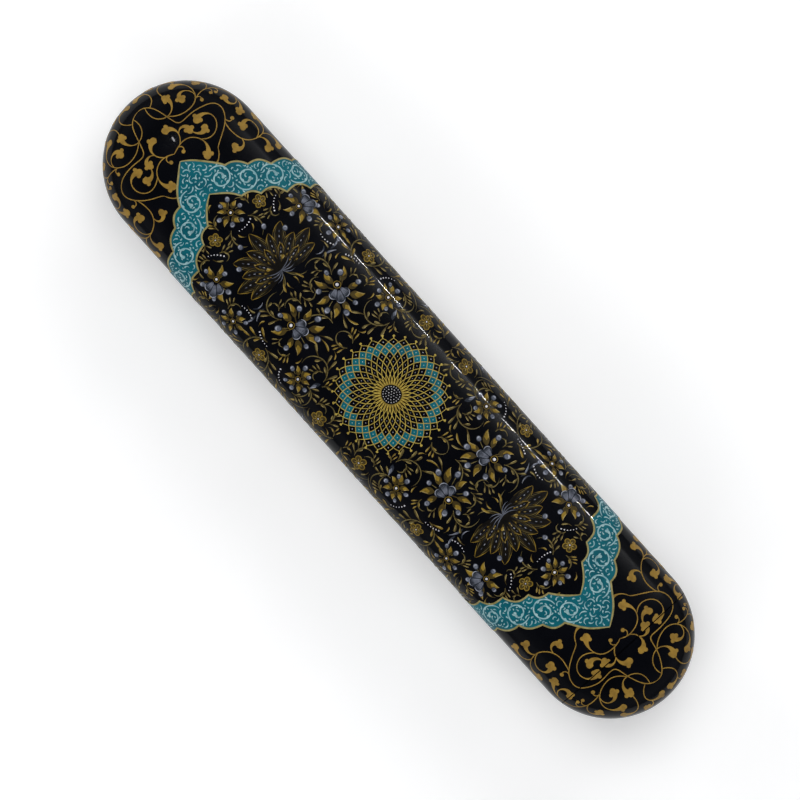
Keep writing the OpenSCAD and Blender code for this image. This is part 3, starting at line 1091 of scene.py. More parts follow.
@dataclass
class Rosette(Motif):
    """Star of crossing arcs in the middle of the top, ringed with turquoise cells."""

    centre: complex = -2.6 - 0.65j
    radius: float = 17.0
    points: int = 32
    hub: float = 3.0
    line: float = 0.2
    ray_line: float = 0.3
    glow_r: float = 5.6
    tip_turn: float = 33.0
    tip_dab: float = 0.32
    rows: int = 8
    dotted_rows: int = 6
    teal_rows: tuple[int, ...] = (1, 2)
    cell_dab: float = 0.19
    hub_dab: float = 0.15
    hub_dabs: tuple[tuple[int, float], ...] = ((1, 0.0), (6, 0.85), (12, 1.65), (20, 2.45))

    def paint(self, brush: Brushwork) -> None:
        """Draws cells, arcs, hub and tips.

        Args:
            brush: Brushwork to draw in.
        """
        step = math.pi / self.points
        first = math.radians(self.tip_turn)
        reach = self.radius / math.cos(first)
        bend = np.linspace(first, math.acos(self.hub / reach), 40)
        for k in range(self.points):
            base = 2 * k * step
            for hand in (1, -1):
                arc = self.centre + reach * np.cos(bend) * np.exp(1j * (base + hand * (bend - first)))
                brush.stroke(Tone.FINE_GOLD, arc, self.line, layer=4)
            for row in range(self.rows):
                self.cell(brush, base + row * step, first + row * step, row, reach, step)
            tip = np.exp(1j * base)
            stalk = self.centre + tip * np.linspace(self.radius - 0.2, self.radius + 0.6, 4)
            brush.stroke(Tone.FINE_GOLD, stalk, self.ray_line, layer=4)
            end = self.centre + tip * (self.radius + 0.7)
            brush.dot(Tone.FINE_GOLD, end, self.tip_dab, layer=5, long=1.25j * tip)
            for share in (-0.5, 0.0, 0.5):
                ray = np.exp(1j * (base + share * step)) * np.linspace(self.hub - 0.3, self.glow_r, 6)
                brush.stroke(Tone.OCHRE, self.centre + ray, self.ray_line, Taper.FADING, 3)
        self.middle(brush)

    def cell(self, brush: Brushwork, angle: float, bend: float, row: int, reach: float, step: float) -> None:
        """Fills one diamond between the arcs.

        Args:
            brush: Brushwork to draw in.
            angle: Direction of the diamond's middle.
            bend: How far along its arc the diamond's outer corner is.
            row: Ring of diamonds, counted from the rim.
            reach: Diameter of the arcs' circles.
            step: Half the angle between two tips.
        """
        out, mid, low = (reach * math.cos(bend + i * step) for i in range(3))
        way = np.exp(1j * angle)
        if row in self.teal_rows:
            left, right = mid * np.exp(1j * (angle + step)), mid * np.exp(1j * (angle - step))
            corners = np.array([[out * way, left], [right, low * way]])
            brush.grid(Tone.TURQUOISE, self.centre + corners, 2)
        tone = Tone.MIST if row in self.teal_rows else Tone.PEARL
        if row < self.dotted_rows:
            brush.dot(tone, self.centre + mid * way, self.cell_dab - 0.014 * row, layer=3, sides=6)

    def middle(self, brush: Brushwork) -> None:
        """Paints the dark hub with rings of white dots.

        Args:
            brush: Brushwork to draw in.
        """
        for radius in (1.0, 2.0, self.hub):
            brush.ring(Tone.GROUND, self.centre, radius - 0.5, 1.05, layer=6, count=28)
        for count, radius in self.hub_dabs:
            for k in range(count):
                at = self.centre + radius * np.exp(2j * np.pi * (k + 0.3 * radius) / count)
                brush.dot(Tone.WHITE, at, self.hub_dab, layer=8, sides=6)


@dataclass
class CuspedBand(Motif):
    """Turquoise chevron across the box, edged with gold and filled with a pale arabesque."""

    outer_tip: float = 94.3
    inner_tip: float = 81.2
    outer_cusps: tuple[complex, ...] = (
        0j, -9.9 + 9.2j, -13.8 + 14.5j, -18.6 + 20.0j, -22.0 + 26.6j, -25.0 + 33.2j,
        -27.4 + 40.0j, -29.4 + 46.8j, -31.0 + 53.6j, -31.5 + 56.4j,
    )
    inner_cusps: tuple[complex, ...] = (
        0j, -6.8 + 6.8j, -10.1 + 11.6j, -14.7 + 17.9j, -18.6 + 24.4j, -21.8 + 31.0j,
        -24.4 + 37.8j, -26.6 + 44.6j, -28.4 + 51.4j, -29.2 + 56.4j,
    )
    low: float = 55.6
    first_swell: float = 0.06
    outer_swell: float = 0.16
    inner_swell: float = 0.2
    edge_width: float = 0.54
    ground_coat: int = 10
    first_roundel: float = 7.0
    end_room: float = 2.0
    pitch: float = 8.2
    roundel_r: float = 3.5
    stem_width: float = 0.42
    tip_width: float = 0.85
    tip_dab: float = 0.5
    leaf_length: float = 1.2
    leaf_width: float = 0.62
    leaf_lean: float = 68.0
    edge_room: float = 0.85
    fillers: tuple[tuple[float, int], ...] = ((3.0, 250), (1.9, 450), (1.1, 700), (0.7, 500))
    filler_width: float = 0.6
    most_crowding: float = 0.05
    seed: int = 3

    def edge(self, tip: float, cusps: Sequence[complex], swell: float) -> Flat:
        """Draws one scalloped edge from its tip down to the foot of the wall.

        Args:
            tip: Where the edge starts on the crown line.
            cusps: Corners between the scallops, counted from the tip.
            swell: Height of a scallop as a share of its length.

        Returns:
            The edge's points.
        """
        runs = []
        for number, (start, stop) in enumerate(zip(cusps, cusps[1:])):
            t = np.linspace(0.0, 1.0, max(8, int(abs(stop - start) / 0.5)), endpoint=False)
            bulge = (swell if number else self.first_swell) * np.sin(np.pi * t) ** 0.9
            runs.append(tip + start + (stop - start) * (t - 1j * bulge))
        path = np.concatenate(runs)
        return path[path.imag < self.low]

    def edges(self) -> tuple[Flat, Flat]:
        """Draws the outer and the inner edge."""
        outer = self.edge(self.outer_tip, self.outer_cusps, self.outer_swell)
        return outer, self.edge(self.inner_tip, self.inner_cusps, self.inner_swell)

    def paint(self, brush: Brushwork) -> None:
        """Lays the ground, the gold edges and the arabesque of one half band.

        Args:
            brush: Brushwork to draw in.
        """
        outer, inner = self.edges()
        even_outer, even_inner = resample(outer, 130), resample(inner, 130)
        brush.grid(Tone.TURQUOISE, between(even_outer, even_inner, 18), self.ground_coat)
        for path in (outer, inner):
            brush.stroke(Tone.EDGE_GOLD, path, self.edge_width, layer=self.ground_coat + 3)
        plan = Plan(self.outer_tip + 2.0, self.low)
        along = plan.ground().real
        beyond = along > plan.edge_at(outer) - self.edge_room
        plan.taken = beyond | (along < plan.edge_at(inner) + self.edge_room)
        brush.plan = plan
        middle = 0.5 * (even_outer + even_inner)
        run = run_along(middle)
        for number, mark in enumerate(np.arange(self.first_roundel, run[-1] - self.end_room, self.pitch)):
            k = int(np.searchsorted(run, mark))
            self.roundel(brush, middle[k], angle_of(middle[k + 1] - middle[k - 1]), -1 if number % 2 else 1)
        self.grow(brush, plan)
        brush.plan = None

    def dab(self, brush: Brushwork, path: Flat, width: float, taper: Taper = Taper.CLUB) -> None:
        """Paints one pale stroke of the arabesque."""
        brush.stroke(Tone.MIST, path, width, taper, self.ground_coat + 2)

    def roundel(self, brush: Brushwork, at: complex, way: float, hand: int) -> None:
        """Paints one scroll: a stem that winds in to a full leaf, with small leaves on both sides.

        Args:
            brush: Brushwork to draw in.
            at: Middle of the roundel.
            way: Direction of the band there, in degrees.
            hand: 1 or -1, the way it winds.
        """
        size = self.roundel_r
        curl = spiral(at, 1.1 * size, 0.26 * size, way + hand * 200, hand * 1.4, 64)
        self.dab(brush, curl, self.stem_width, Taper.EVEN)
        self.dab(brush, curl[int(0.74 * len(curl)):], self.tip_width, Taper.SWELLING)
        brush.dot(Tone.MIST, curl[-1], self.tip_dab, layer=self.ground_coat + 2)
        for number, mark in enumerate(np.arange(0.08, 0.94, 0.085)):
            k = int(mark * len(curl))
            lean = hand * self.leaf_lean * (1 if number % 2 else -1)
            heading = angle_of(curl[k] - curl[k - 1]) + lean
            leaf = sweep(curl[k], heading, self.leaf_length, -1.2 * lean, 1.0, 0.25)
            self.dab(brush, leaf, self.leaf_width)

    def grow(self, brush: Brushwork, plan: Plan) -> None:
        """Fills the turquoise that is left with small hooked leaves.

        Args:
            brush: Brushwork to draw in.
            plan: Ground of the half band.
        """
        chance = np.random.default_rng(self.seed)
        for length, tries in self.fillers:
            for _ in range(tries):
                turn = chance.choice([-1, 1]) * chance.uniform(90, 190)
                leaf = sweep(chance.choice(plan.shore()), chance.uniform(0, 360), length, turn, 1.0, 0.3)
                if plan.crowding(leaf) < self.most_crowding:
                    self.dab(brush, leaf, self.filler_width)


@dataclass(frozen=True)
class Growth(Motif):
    """Something painted along a line that sets off from a root one way and turns as it goes."""

    root: complex
    heading: float
    length: float
    turn: float
    tighten: ClassVar[float] = 1.1
    step: ClassVar[float] = 0.45

    @property
    def hand(self) -> int:
        """The way it turns, 1 or -1."""
        return 1 if self.turn > 0 else -1

    def line(self) -> Flat:
        """Draws its middle line."""
        return sweep(self.root, self.heading, self.length, self.turn, self.tighten, self.step)

    def reach(self) -> Flat:
        """Lists points that need free ground."""
        return self.line()


class Head(Enum):
    """What a gold tendril ends in."""

    KNOB = "knob"
    LEAF = "leaf"
    TREFOIL = "trefoil"


@dataclass(frozen=True)
class Tendril(Growth):
    """A line of gold scrollwork that curls and ends in a head."""

    head: Head = Head.LEAF
    tighten: ClassVar[float] = 1.3
    step: ClassVar[float] = 0.3
    width: ClassVar[float] = 0.3
    knob_r: ClassVar[float] = 0.62
    leaf_length: ClassVar[float] = 6.4
    leaf_width: ClassVar[float] = 2.7
    leaf_knob_r: ClassVar[float] = 0.66
    root_points: ClassVar[int] = 7
    room: ClassVar[float] = 1.35

    def reach(self) -> Flat:
        """Lists points that need free ground: the line past its root, and both its sides further on.

        Returns:
            The points.
        """
        free = self.line()[self.root_points:]
        side = self.room * leftward(free)
        late = len(free) // 3
        return np.concatenate([free, (free + side)[late:], (free - side)[late:]])

    def paint(self, brush: Brushwork) -> None:
        """Paints the line and its head.

        Args:
            brush: Brushwork to draw in.
        """
        path = self.line()
        brush.stroke(Tone.SCROLL_GOLD, path, self.width, layer=2)
        if self.head is Head.KNOB:
            brush.dot(Tone.SCROLL_GOLD, path[-1], self.knob_r, layer=3)
        else:
            self.leaf(brush, path)

    def leaf(self, brush: Brushwork, path: Flat) -> None:
        """Paints a leaf that swells to a blunt end over the last of the line, with a knob or two beside it.

        Args:
            brush: Brushwork to draw in.
            path: Points of the line.
        """
        run = run_along(path)
        body = resample(path[run > run[-1] - self.leaf_length], 24)
        t = np.linspace(0.0, 1.0, len(body))
        normal = leftward(body)
        blunt = np.sqrt(np.clip(1.0 - (np.maximum(t - 0.72, 0.0) / 0.28) ** 2, 0.005, 1.0))
        half = 0.5 * (self.width + self.leaf_width * t ** 1.45) * blunt
        bowed = body + normal * self.hand * 0.4 * t ** 2
        brush.grid(Tone.SCROLL_GOLD, ribbon(bowed, normal * half, 3), 3)
        k = int(0.7 * len(body))
        sides = (1, -1) if self.head is Head.TREFOIL else (-1,)
        for side in sides:
            beside = bowed[k] + normal[k] * self.hand * side * (half[k] + 0.1)
            brush.dot(Tone.SCROLL_GOLD, beside, self.leaf_knob_r, layer=4, sides=10)


@dataclass
class GoldEnds:
    """Gold scrollwork on the round ends: a waved stem with curls on both sides, mirrored over the axis."""

    centre: float = 94.75
    ring_r: float = 16.0
    swing: float = 4.4
    waves: float = 1.5
    last: float = 114.0
    rim_r: float = 29.5
    edge_room: float = 3.0
    axis_room: float = 0.7
    first_fork: int = 9
    second_fork: int = 14
    curls: tuple[tuple[float, int], ...] = (
        (24.0, 300), (18.0, 400), (13.0, 500), (9.5, 600), (7.0, 600), (3.0, 500)
    )
    branch_lean: float = 26.0
    longest_knob: float = 4.0
    most_crowding: float = 0.03
    seed: int = 4

    def paint(self, brush: Brushwork, edge: Flat) -> None:
        """Paints the waved stem, four given curls, and what grows from them.

        Args:
            brush: Brushwork to draw in.
            edge: Outer edge of the band, from its tip to the foot of the wall.
        """
        plan = Plan(self.centre + self.rim_r + 1.0, self.rim_r + 1.0)
        ground = plan.ground()
        from_centre = np.maximum(ground.real - self.centre, 0.0) + 1j * ground.imag
        inside = (np.abs(from_centre) <= self.rim_r) & (ground.imag >= self.axis_room)
        plan.taken = (ground.real < plan.edge_at(edge) + self.edge_room) | ~inside
        brush.plan = plan
        turn = np.linspace(0.0, math.radians(self.last), 150)
        ring = self.ring_r + self.swing * np.cos(2 * np.pi * self.waves * turn / turn[-1])
        stem = self.centre + ring * np.exp(1j * turn)
        brush.stroke(Tone.SCROLL_GOLD, stem, Tendril.width, layer=2)
        firsts = (
            Tendril(self.centre + 3.0, 62, 17.0, 190, Head.TREFOIL),
            Tendril(stem[self.first_fork], 196, 17.0, -250, Head.TREFOIL),
            Tendril(stem[self.second_fork], 62, 13.0, -210),
            Tendril(stem[-1], angle_of(stem[-1] - stem[-2]), 9.0, 130),
        )
        for first in firsts:
            first.paint(brush)
        self.grow(brush, plan, [stem] + [first.line() for first in firsts])
        brush.plan = None

    def grow(self, brush: Brushwork, plan: Plan, stems: list[Flat]) -> None:
        """Lets curls branch from the stems, the long ones first, wherever there is room.

        Args:
            brush: Brushwork to draw in.
            plan: Ground of the half end.
            stems: Lines that curls may branch from.
        """
        chance = np.random.default_rng(self.seed)
        heads = (Head.LEAF, Head.TREFOIL, Head.LEAF)
        for length, tries in self.curls:
            for number in range(tries):
                stem = stems[chance.integers(len(stems))]
                k = chance.integers(3, len(stem) - 3)
                side = chance.choice([-1, 1])
                heading = angle_of(stem[k + 1] - stem[k - 1]) + self.branch_lean * side
                head = heads[number % 3] if length > self.longest_knob else Head.KNOB
                curl = Tendril(stem[k], heading, length, side * chance.uniform(150, 270), head)
                if plan.crowding(curl.reach()) < self.most_crowding:
                    curl.paint(brush)
                    stems.append(curl.line())


class Leafage(Enum):
    """Tones of a painted leaf or petal: shadow, body and light."""

    GOLD = (Tone.OLIVE, Tone.OCHRE, Tone.STRAW)
    MOSS = (Tone.OLIVE, Tone.MOSS, Tone.STRAW)
    SILVER = (Tone.SLATE, Tone.SILVER, Tone.PEARL)


def paint_leaf(
    brush: Brushwork, path: Flat, width: float, leafage: Leafage, taper: Taper = Taper.LEAF,
    layer: float = 2, lit: int = 1,
) -> None:
    """Paints a leaf or petal in shadow, body and light.

    Args:
        brush: Brushwork to draw in.
        path: Middle line from root to tip.
        width: Full width, in millimetres.
        leafage: Its three tones.
        taper: How the width runs.
        layer: Coat of the shadow; the others lie above it.
        lit: 1 or -1, the side that catches the light.
    """
    shadow, body, light = leafage.value
    side = leftward(path) * (0.5 * width * taper.widths(len(path)))
    across = 2 if width > 1.2 else 1
    brush.stroke(shadow, path, width, taper, layer, across)
    late = max(1, int(len(path) * 0.34))
    inner = (path + side * 0.12 * lit)[late:]
    spread = side[late:] * 0.8 * np.minimum(1.0, np.linspace(0.1, 3.0, len(inner)))
    brush.grid(body, ribbon(inner, spread, across + 1), layer + 1)
    rim = (path + side * 0.8 * lit)[int(len(path) * 0.4):]
    brush.stroke(light, rim, min(0.24, 0.2 * width), Taper.POINTED, layer + 2)


def paint_shell(brush: Brushwork, eye: complex, lobes: Sequence[tuple[complex, float]], layer: float) -> None:
    """Paints the round silver lobes in front of a flower: dark, streaked from the eye, with a pale outer rim.

    Args:
        brush: Brushwork to draw in.
        eye: Middle of the flower.
        lobes: Middle and radius of each lobe.
        layer: Coat of their ground.
    """
    heart = 0.5 * eye + 0.5 * sum(at for at, _ in lobes) / len(lobes)
    run = np.linspace(0.0, 1.0, 9)
    for at, size in lobes:
        way = unit(at - eye)
        brush.stroke(Tone.SLATE, eye + (at - eye) * (0.4 + 0.6 * run), 1.6 * size, Taper.CLUB, layer)
        brush.dot(Tone.SLATE, at, size, layer + 0.1, sides=14)
        for share in (-0.75, -0.4, 0.0, 0.4, 0.75):
            tip = at + way * size * (0.5 + 0.55j * share * 1.4)
            streak = eye + (tip - eye) * (0.35 + 0.65 * run)
            brush.stroke(Tone.SILVER, streak, 0.17 * size, Taper.POINTED, layer + 1)
        rim = at + 0.9 * size * np.exp(1j * np.linspace(-1.2, 1.2, 11)) * unit(at - heart)
        brush.stroke(Tone.PEARL, rim, 0.22, Taper.POINTED, layer + 2)


def paint_bud(brush: Brushwork, at: complex, way: complex, size: float, layer: float) -> None:
    """Paints a small round silver bud with a light on its tip.

    Args:
        brush: Brushwork to draw in.
        at: Middle of the bud.
        way: Direction to its tip, of length 1.
        size: Radius, in millimetres.
        layer: Coat of its ground.
    """
    brush.dot(Tone.SLATE, at, size, layer, sides=10, long=1.2 * way)
    brush.dot(Tone.SILVER, at + 0.1 * size * way, 0.8 * size, layer + 0.5, sides=10, long=1.15 * way)
    glow = at + 0.62 * size * np.exp(1j * np.linspace(-1.3, 1.3, 9)) * way
    brush.stroke(Tone.PEARL, glow, 0.42 * size, Taper.POINTED, layer + 1)


def paint_eye(brush: Brushwork, at: complex, size: float, layer: float) -> None:
    """Paints the ringed middle of a flower: dark, a gold ring and a white dot.

    Args:
        brush: Brushwork to draw in.
        at: Middle of the flower.
        size: Radius, in millimetres.
        layer: Coat of its ground.
    """
    brush.dot(Tone.GROUND, at, 1.1 * size, layer, sides=12)
    brush.ring(Tone.OCHRE, at, 0.9 * size, 0.15 * size, layer + 1, 16)
    brush.dot(Tone.WHITE, at, 0.42 * size, layer + 1)


# Petals as turn from the facing side, reach and width; buds and lobes as turn, distance and radius.
Ring = tuple[tuple[float, float, float], ...]


@dataclass(frozen=True)
class Bloom(Motif):
    """A flower seen a little from one side: pointed gold petals, silver buds and silver lobes in front."""

    at: complex
    facing: float
    petals: Ring
    buds: Ring = ()
    lobes: Ring = ()
    heart: float = 0.0
    root_share: float = 0.25
    eye: float = 1.0

    def spot(self, base: complex, lean: float, reach: float) -> complex:
        """Finds a place by its turn from the facing side and its distance."""
        return base + reach * toward(self.facing + lean)

    def paint(self, brush: Brushwork) -> None:
        """Paints petals, buds, lobes and eye.

        Args:
            brush: Brushwork to draw in.
        """
        heart = self.spot(self.at, 0.0, self.heart)
        for number, (lean, reach, width) in enumerate(self.petals):
            hook = 1 if lean > 0 else -1
            root = self.spot(heart, lean, self.root_share * reach)
            length = (1 - self.root_share) * reach
            line = sweep(root, self.facing + lean - 9 * hook, length, 44 * hook, 2.2, 0.35)
            paint_leaf(brush, line, width, Leafage.GOLD, Taper.LEAF, 4 + 0.3 * (number % 3), hook)
            vein = np.linspace(self.spot(heart, lean, 0.12 * reach), line[len(line) // 2], 6)
            brush.stroke(Tone.OLIVE, vein, 0.34, Taper.EVEN, 3.5)
        for lean, reach, size in self.buds:
            at = self.spot(heart, lean, reach)
            stalk = np.linspace(self.spot(heart, lean, 0.5 * reach), at, 5)
            brush.stroke(Tone.MOSS, stalk, 0.24, Taper.EVEN, 3)
            paint_bud(brush, at, unit(at - heart), size, 7)
        if self.lobes:
            lobes = [(self.spot(self.at, lean, reach), size) for lean, reach, size in self.lobes]
            paint_shell(brush, self.at, lobes, 8)
        paint_eye(brush, self.at, self.eye, 13)


@dataclass(frozen=True)
class Rose(Motif):
    """A small rose of five round petals drawn in outline."""

    at: complex
    radius: float
    facing: float = 0.0

    def paint(self, brush: Brushwork) -> None:
        """Paints petals and eye.

        Args:
            brush: Brushwork to draw in.
        """
        size = self.radius
        for k in range(5):
            way = toward(self.facing + 72.0 * k)
            middle = self.at + 0.62 * size * way
            brush.dot(Tone.OLIVE, middle, 0.42 * size, 4 + 0.1 * k, sides=12)
            brush.ring(Tone.OCHRE, middle, 0.37 * size, 0.24, 5 + 0.1 * k, 14)
            line = self.at + way * np.linspace(0.25, 0.6, 5) * size
            brush.stroke(Tone.STRAW, line, 0.2, Taper.POINTED, 6)
        paint_eye(brush, self.at, 0.24 * size, 7)


@dataclass(frozen=True)
class Spray(Growth):
    """A curling stem that swells and tapers, with a plume of club-shaped leaves at its root."""

    leaves: int = 4
    leaf: float = 3.6
    leafage: Leafage = Leafage.MOSS
    tighten: ClassVar[float] = 1.15
    stem_width: ClassVar[float] = 0.44
    leaf_shares: ClassVar[tuple[float, ...]] = (1.0, 0.7, 0.9, 0.75, 0.6)

    def blades(self) -> list[tuple[Flat, int]]:
        """Draws the leaves.

        Returns:
            The middle line of each leaf, and the side that it is on.
        """
        stem = self.line()
        lines = []
        for number in range(self.leaves):
            k = 1 + int(0.11 * number * len(stem))
            side = self.hand if number % 3 == 1 else -self.hand
            heading = angle_of(stem[k] - stem[k - 1]) + side * (24 + 5 * number)
            size = self.leaf * self.leaf_shares[number % len(self.leaf_shares)]
            lines.append((sweep(stem[k], heading, size, side * 16, 1.2, 0.35), side))
        return lines

    def reach(self) -> Flat:
        """Lists points that need free ground."""
        return np.concatenate([self.line()[3:], *[line[2:] for line, _ in self.blades()]])

    def paint(self, brush: Brushwork) -> None:
        """Paints stem and leaves.

        Args:
            brush: Brushwork to draw in.
        """
        brush.stroke(Tone.MOSS, self.line(), self.stem_width, Taper.VINE, 2)
        for line, side in self.blades():
            paint_leaf(brush, line, 0.24 * self.leaf, self.leafage, Taper.CLUB, 3, side)


@dataclass(frozen=True)
class Crescent(Growth):
    """One full comma stroke beside a stem."""

    width: float = 0.9
    leafage: Leafage = Leafage.GOLD
    taper: Taper = Taper.LEAF

    def paint(self, brush: Brushwork) -> None:
        """Paints the comma."""
        paint_leaf(brush, self.line(), self.width, self.leafage, self.taper, 3)


@dataclass(frozen=True)
class Fan(Growth):
    """A few fine silver strokes that open from one root, like a fern."""

    spread: float = 16.0
    count: int = 4
    width: ClassVar[float] = 0.3

    def strokes(self) -> list[Flat]:
        """Draws the middle line of each stroke.

        Returns:
            The lines, the longest first.
        """
        leans = (np.arange(self.count) - (self.count - 1) / 2) * self.spread
        return [
            replace(self, heading=self.heading + lean, length=self.length * (1 - 0.12 * k)).line()
            for k, lean in enumerate(leans)
        ]

    def reach(self) -> Flat:
        """Lists points that need free ground."""
        return np.concatenate([line[1:] for line in self.strokes()])

    def paint(self, brush: Brushwork) -> None:
        """Paints the strokes."""
        for k, line in enumerate(self.strokes()):
            brush.stroke(Tone.PEARL if k == 1 else Tone.SILVER, line, self.width, Taper.LEAF, 3)


@dataclass(frozen=True)
class BeadRow(Growth):
    """A curved row of white dots that dwindle."""

    count: int = 6
    tighten: ClassVar[float] = 1.0

    def paint(self, brush: Brushwork) -> None:
        """Paints the row."""
        brush.beads(self.line(), self.count, 0.25, 0.15)


@dataclass(frozen=True)
class LotusPalmette(Motif):
    """Large dark lotus on the long axis: rows of overlapping petals, edged with fine gold near their tips."""

    base: complex = 46.5
    length: float = 15.6
    rows: tuple[tuple[float, tuple[float, ...]], ...] = (
        (1.0, (70, -70, 36, -36, 0)), (0.82, (86, -86, 53, -53, 18, -18)), (0.58, (68, -68, 34, -34, 0)),
    )
    buds: tuple[complex, ...] = (9.8 + 9.2j, 9.8 - 9.2j, 14.4 + 4.8j, 14.4 - 4.8j)
    bud_r: float = 0.85
    drops: tuple[float, ...] = (-48, 48)
    hairs: tuple[float, ...] = (-165, -140, -115, -92, 92, 115, 140, 165)

    def paint(self, brush: Brushwork) -> None:
        """Paints the palmette, opening away from the middle, and two leaves at its foot.

        Args:
            brush: Brushwork to draw in.
        """
        for row, (share, leans) in enumerate(self.rows):
            for number, lean in enumerate(leans):
                self.petal(brush, lean, share * self.length, 0.2 + 1.3 * row + 0.25 * number)
        for spot in self.buds:
            paint_bud(brush, self.base + spot, unit(spot), self.bud_r, 7)
        for lean in self.drops:
            drop = sweep(self.base + 3.4 * toward(0.6 * lean), lean, 2.2, 0.4 * lean, 1.0, 0.3)
            paint_leaf(brush, drop, 1.3, Leafage.GOLD, Taper.CLUB, 5)
        for lean in self.hairs:
            hair = sweep(self.base + 1.2, lean, 4.8, -0.55 * lean, 1.0)
            brush.stroke(Tone.SILVER, hair, 0.26, Taper.LEAF, 5)
        for side in (1, -1):
            leaf = sweep(self.base - 1.0 + 1.2j * side, 128 * side, 4.6, 46 * side, 1.1, 0.45)
            paint_leaf(brush, leaf, 0.95, Leafage.GOLD, Taper.CLUB, 3)
            stem = sweep(self.base + 0.5j * side, 158 * side, 7.0, -74 * side)
            brush.stroke(Tone.MOSS, stem, 0.4, Taper.VINE, 2)

    def petal(self, brush: Brushwork, lean: float, size: float, layer: float) -> None:
        """Paints one dark petal: gold edges round its hooked tip, a row of dashes and fine hairs inside.

        Args:
            brush: Brushwork to draw in.
            lean: Direction of the petal, in degrees from the long axis.
            size: Length of the petal, in millimetres.
            layer: Coat of its ground.
        """
        hook = (lean > 0) - (lean < 0)
        line = sweep(self.base, lean - 4 * hook, size, 20 * hook, 2.4, 0.4)
        swell = np.sin(np.pi * np.linspace(0.0, 1.0, len(line)) ** 1.3) ** 0.8
        side = leftward(line) * (0.145 * size * swell)
        brush.grid(Tone.UMBER, ribbon(line, side, 7), layer)
        for edge in (1, -1):
            outline = line + side * edge
            brush.stroke(Tone.OLIVE, outline[int(0.46 * len(line)):], 0.15, Taper.EVEN, layer + 0.1)
            brush.stroke(Tone.OCHRE, outline[int(0.78 * len(line)):], 0.24, Taper.POINTED, layer + 0.2)
            for number, tone in enumerate((Tone.SLATE, Tone.OLIVE, Tone.MOSS)):
                inside = line + side * edge * (0.3 + 0.2 * number)
                start = int(len(line) * (0.4 + 0.1 * number))
                brush.stroke(tone, inside[start:start + len(line) // 3], 0.17, Taper.POINTED, layer + 0.1)
        dash = max(3, len(line) // 11)
        for number, tone in enumerate((Tone.OCHRE, Tone.STRAW, Tone.PEARL, Tone.SILVER)):
            start = int(len(line) * (0.42 + 0.12 * number))
            brush.stroke(tone, line[start:start + dash], 0.38 - 0.05 * number, Taper.POINTED, layer + 0.2)


def around(count: int, reach: float, size: float, start: float = 0.0) -> Ring:
    """Sets petals or buds evenly round a flower, every other one a little shorter.

    Args:
        count: Number of petals or buds.
        reach: Distance of the longest from the middle, in millimetres.
        size: Greatest width or radius.
        start: Turn of the first from the facing side, in degrees.

    Returns:
        Turn, reach and size of each.
    """
    turns = [start + 360.0 * k / count + 7.0 * (k % 3) for k in range(count)]
    return tuple(
        ((turn + 180.0) % 360.0 - 180.0, reach * (1.0 - 0.1 * (k % 2)), size * (1.0 - 0.09 * (k % 3)))
        for k, turn in enumerate(turns)
    )


def beads_round(at: complex, radius: float, angle: float, length: float = 4.8) -> BeadRow:
    """Sets a row of beads on a circle round a flower, from an angle in degrees."""
    return BeadRow(at + radius * toward(angle), angle + 90.0, length, math.degrees(length / radius))


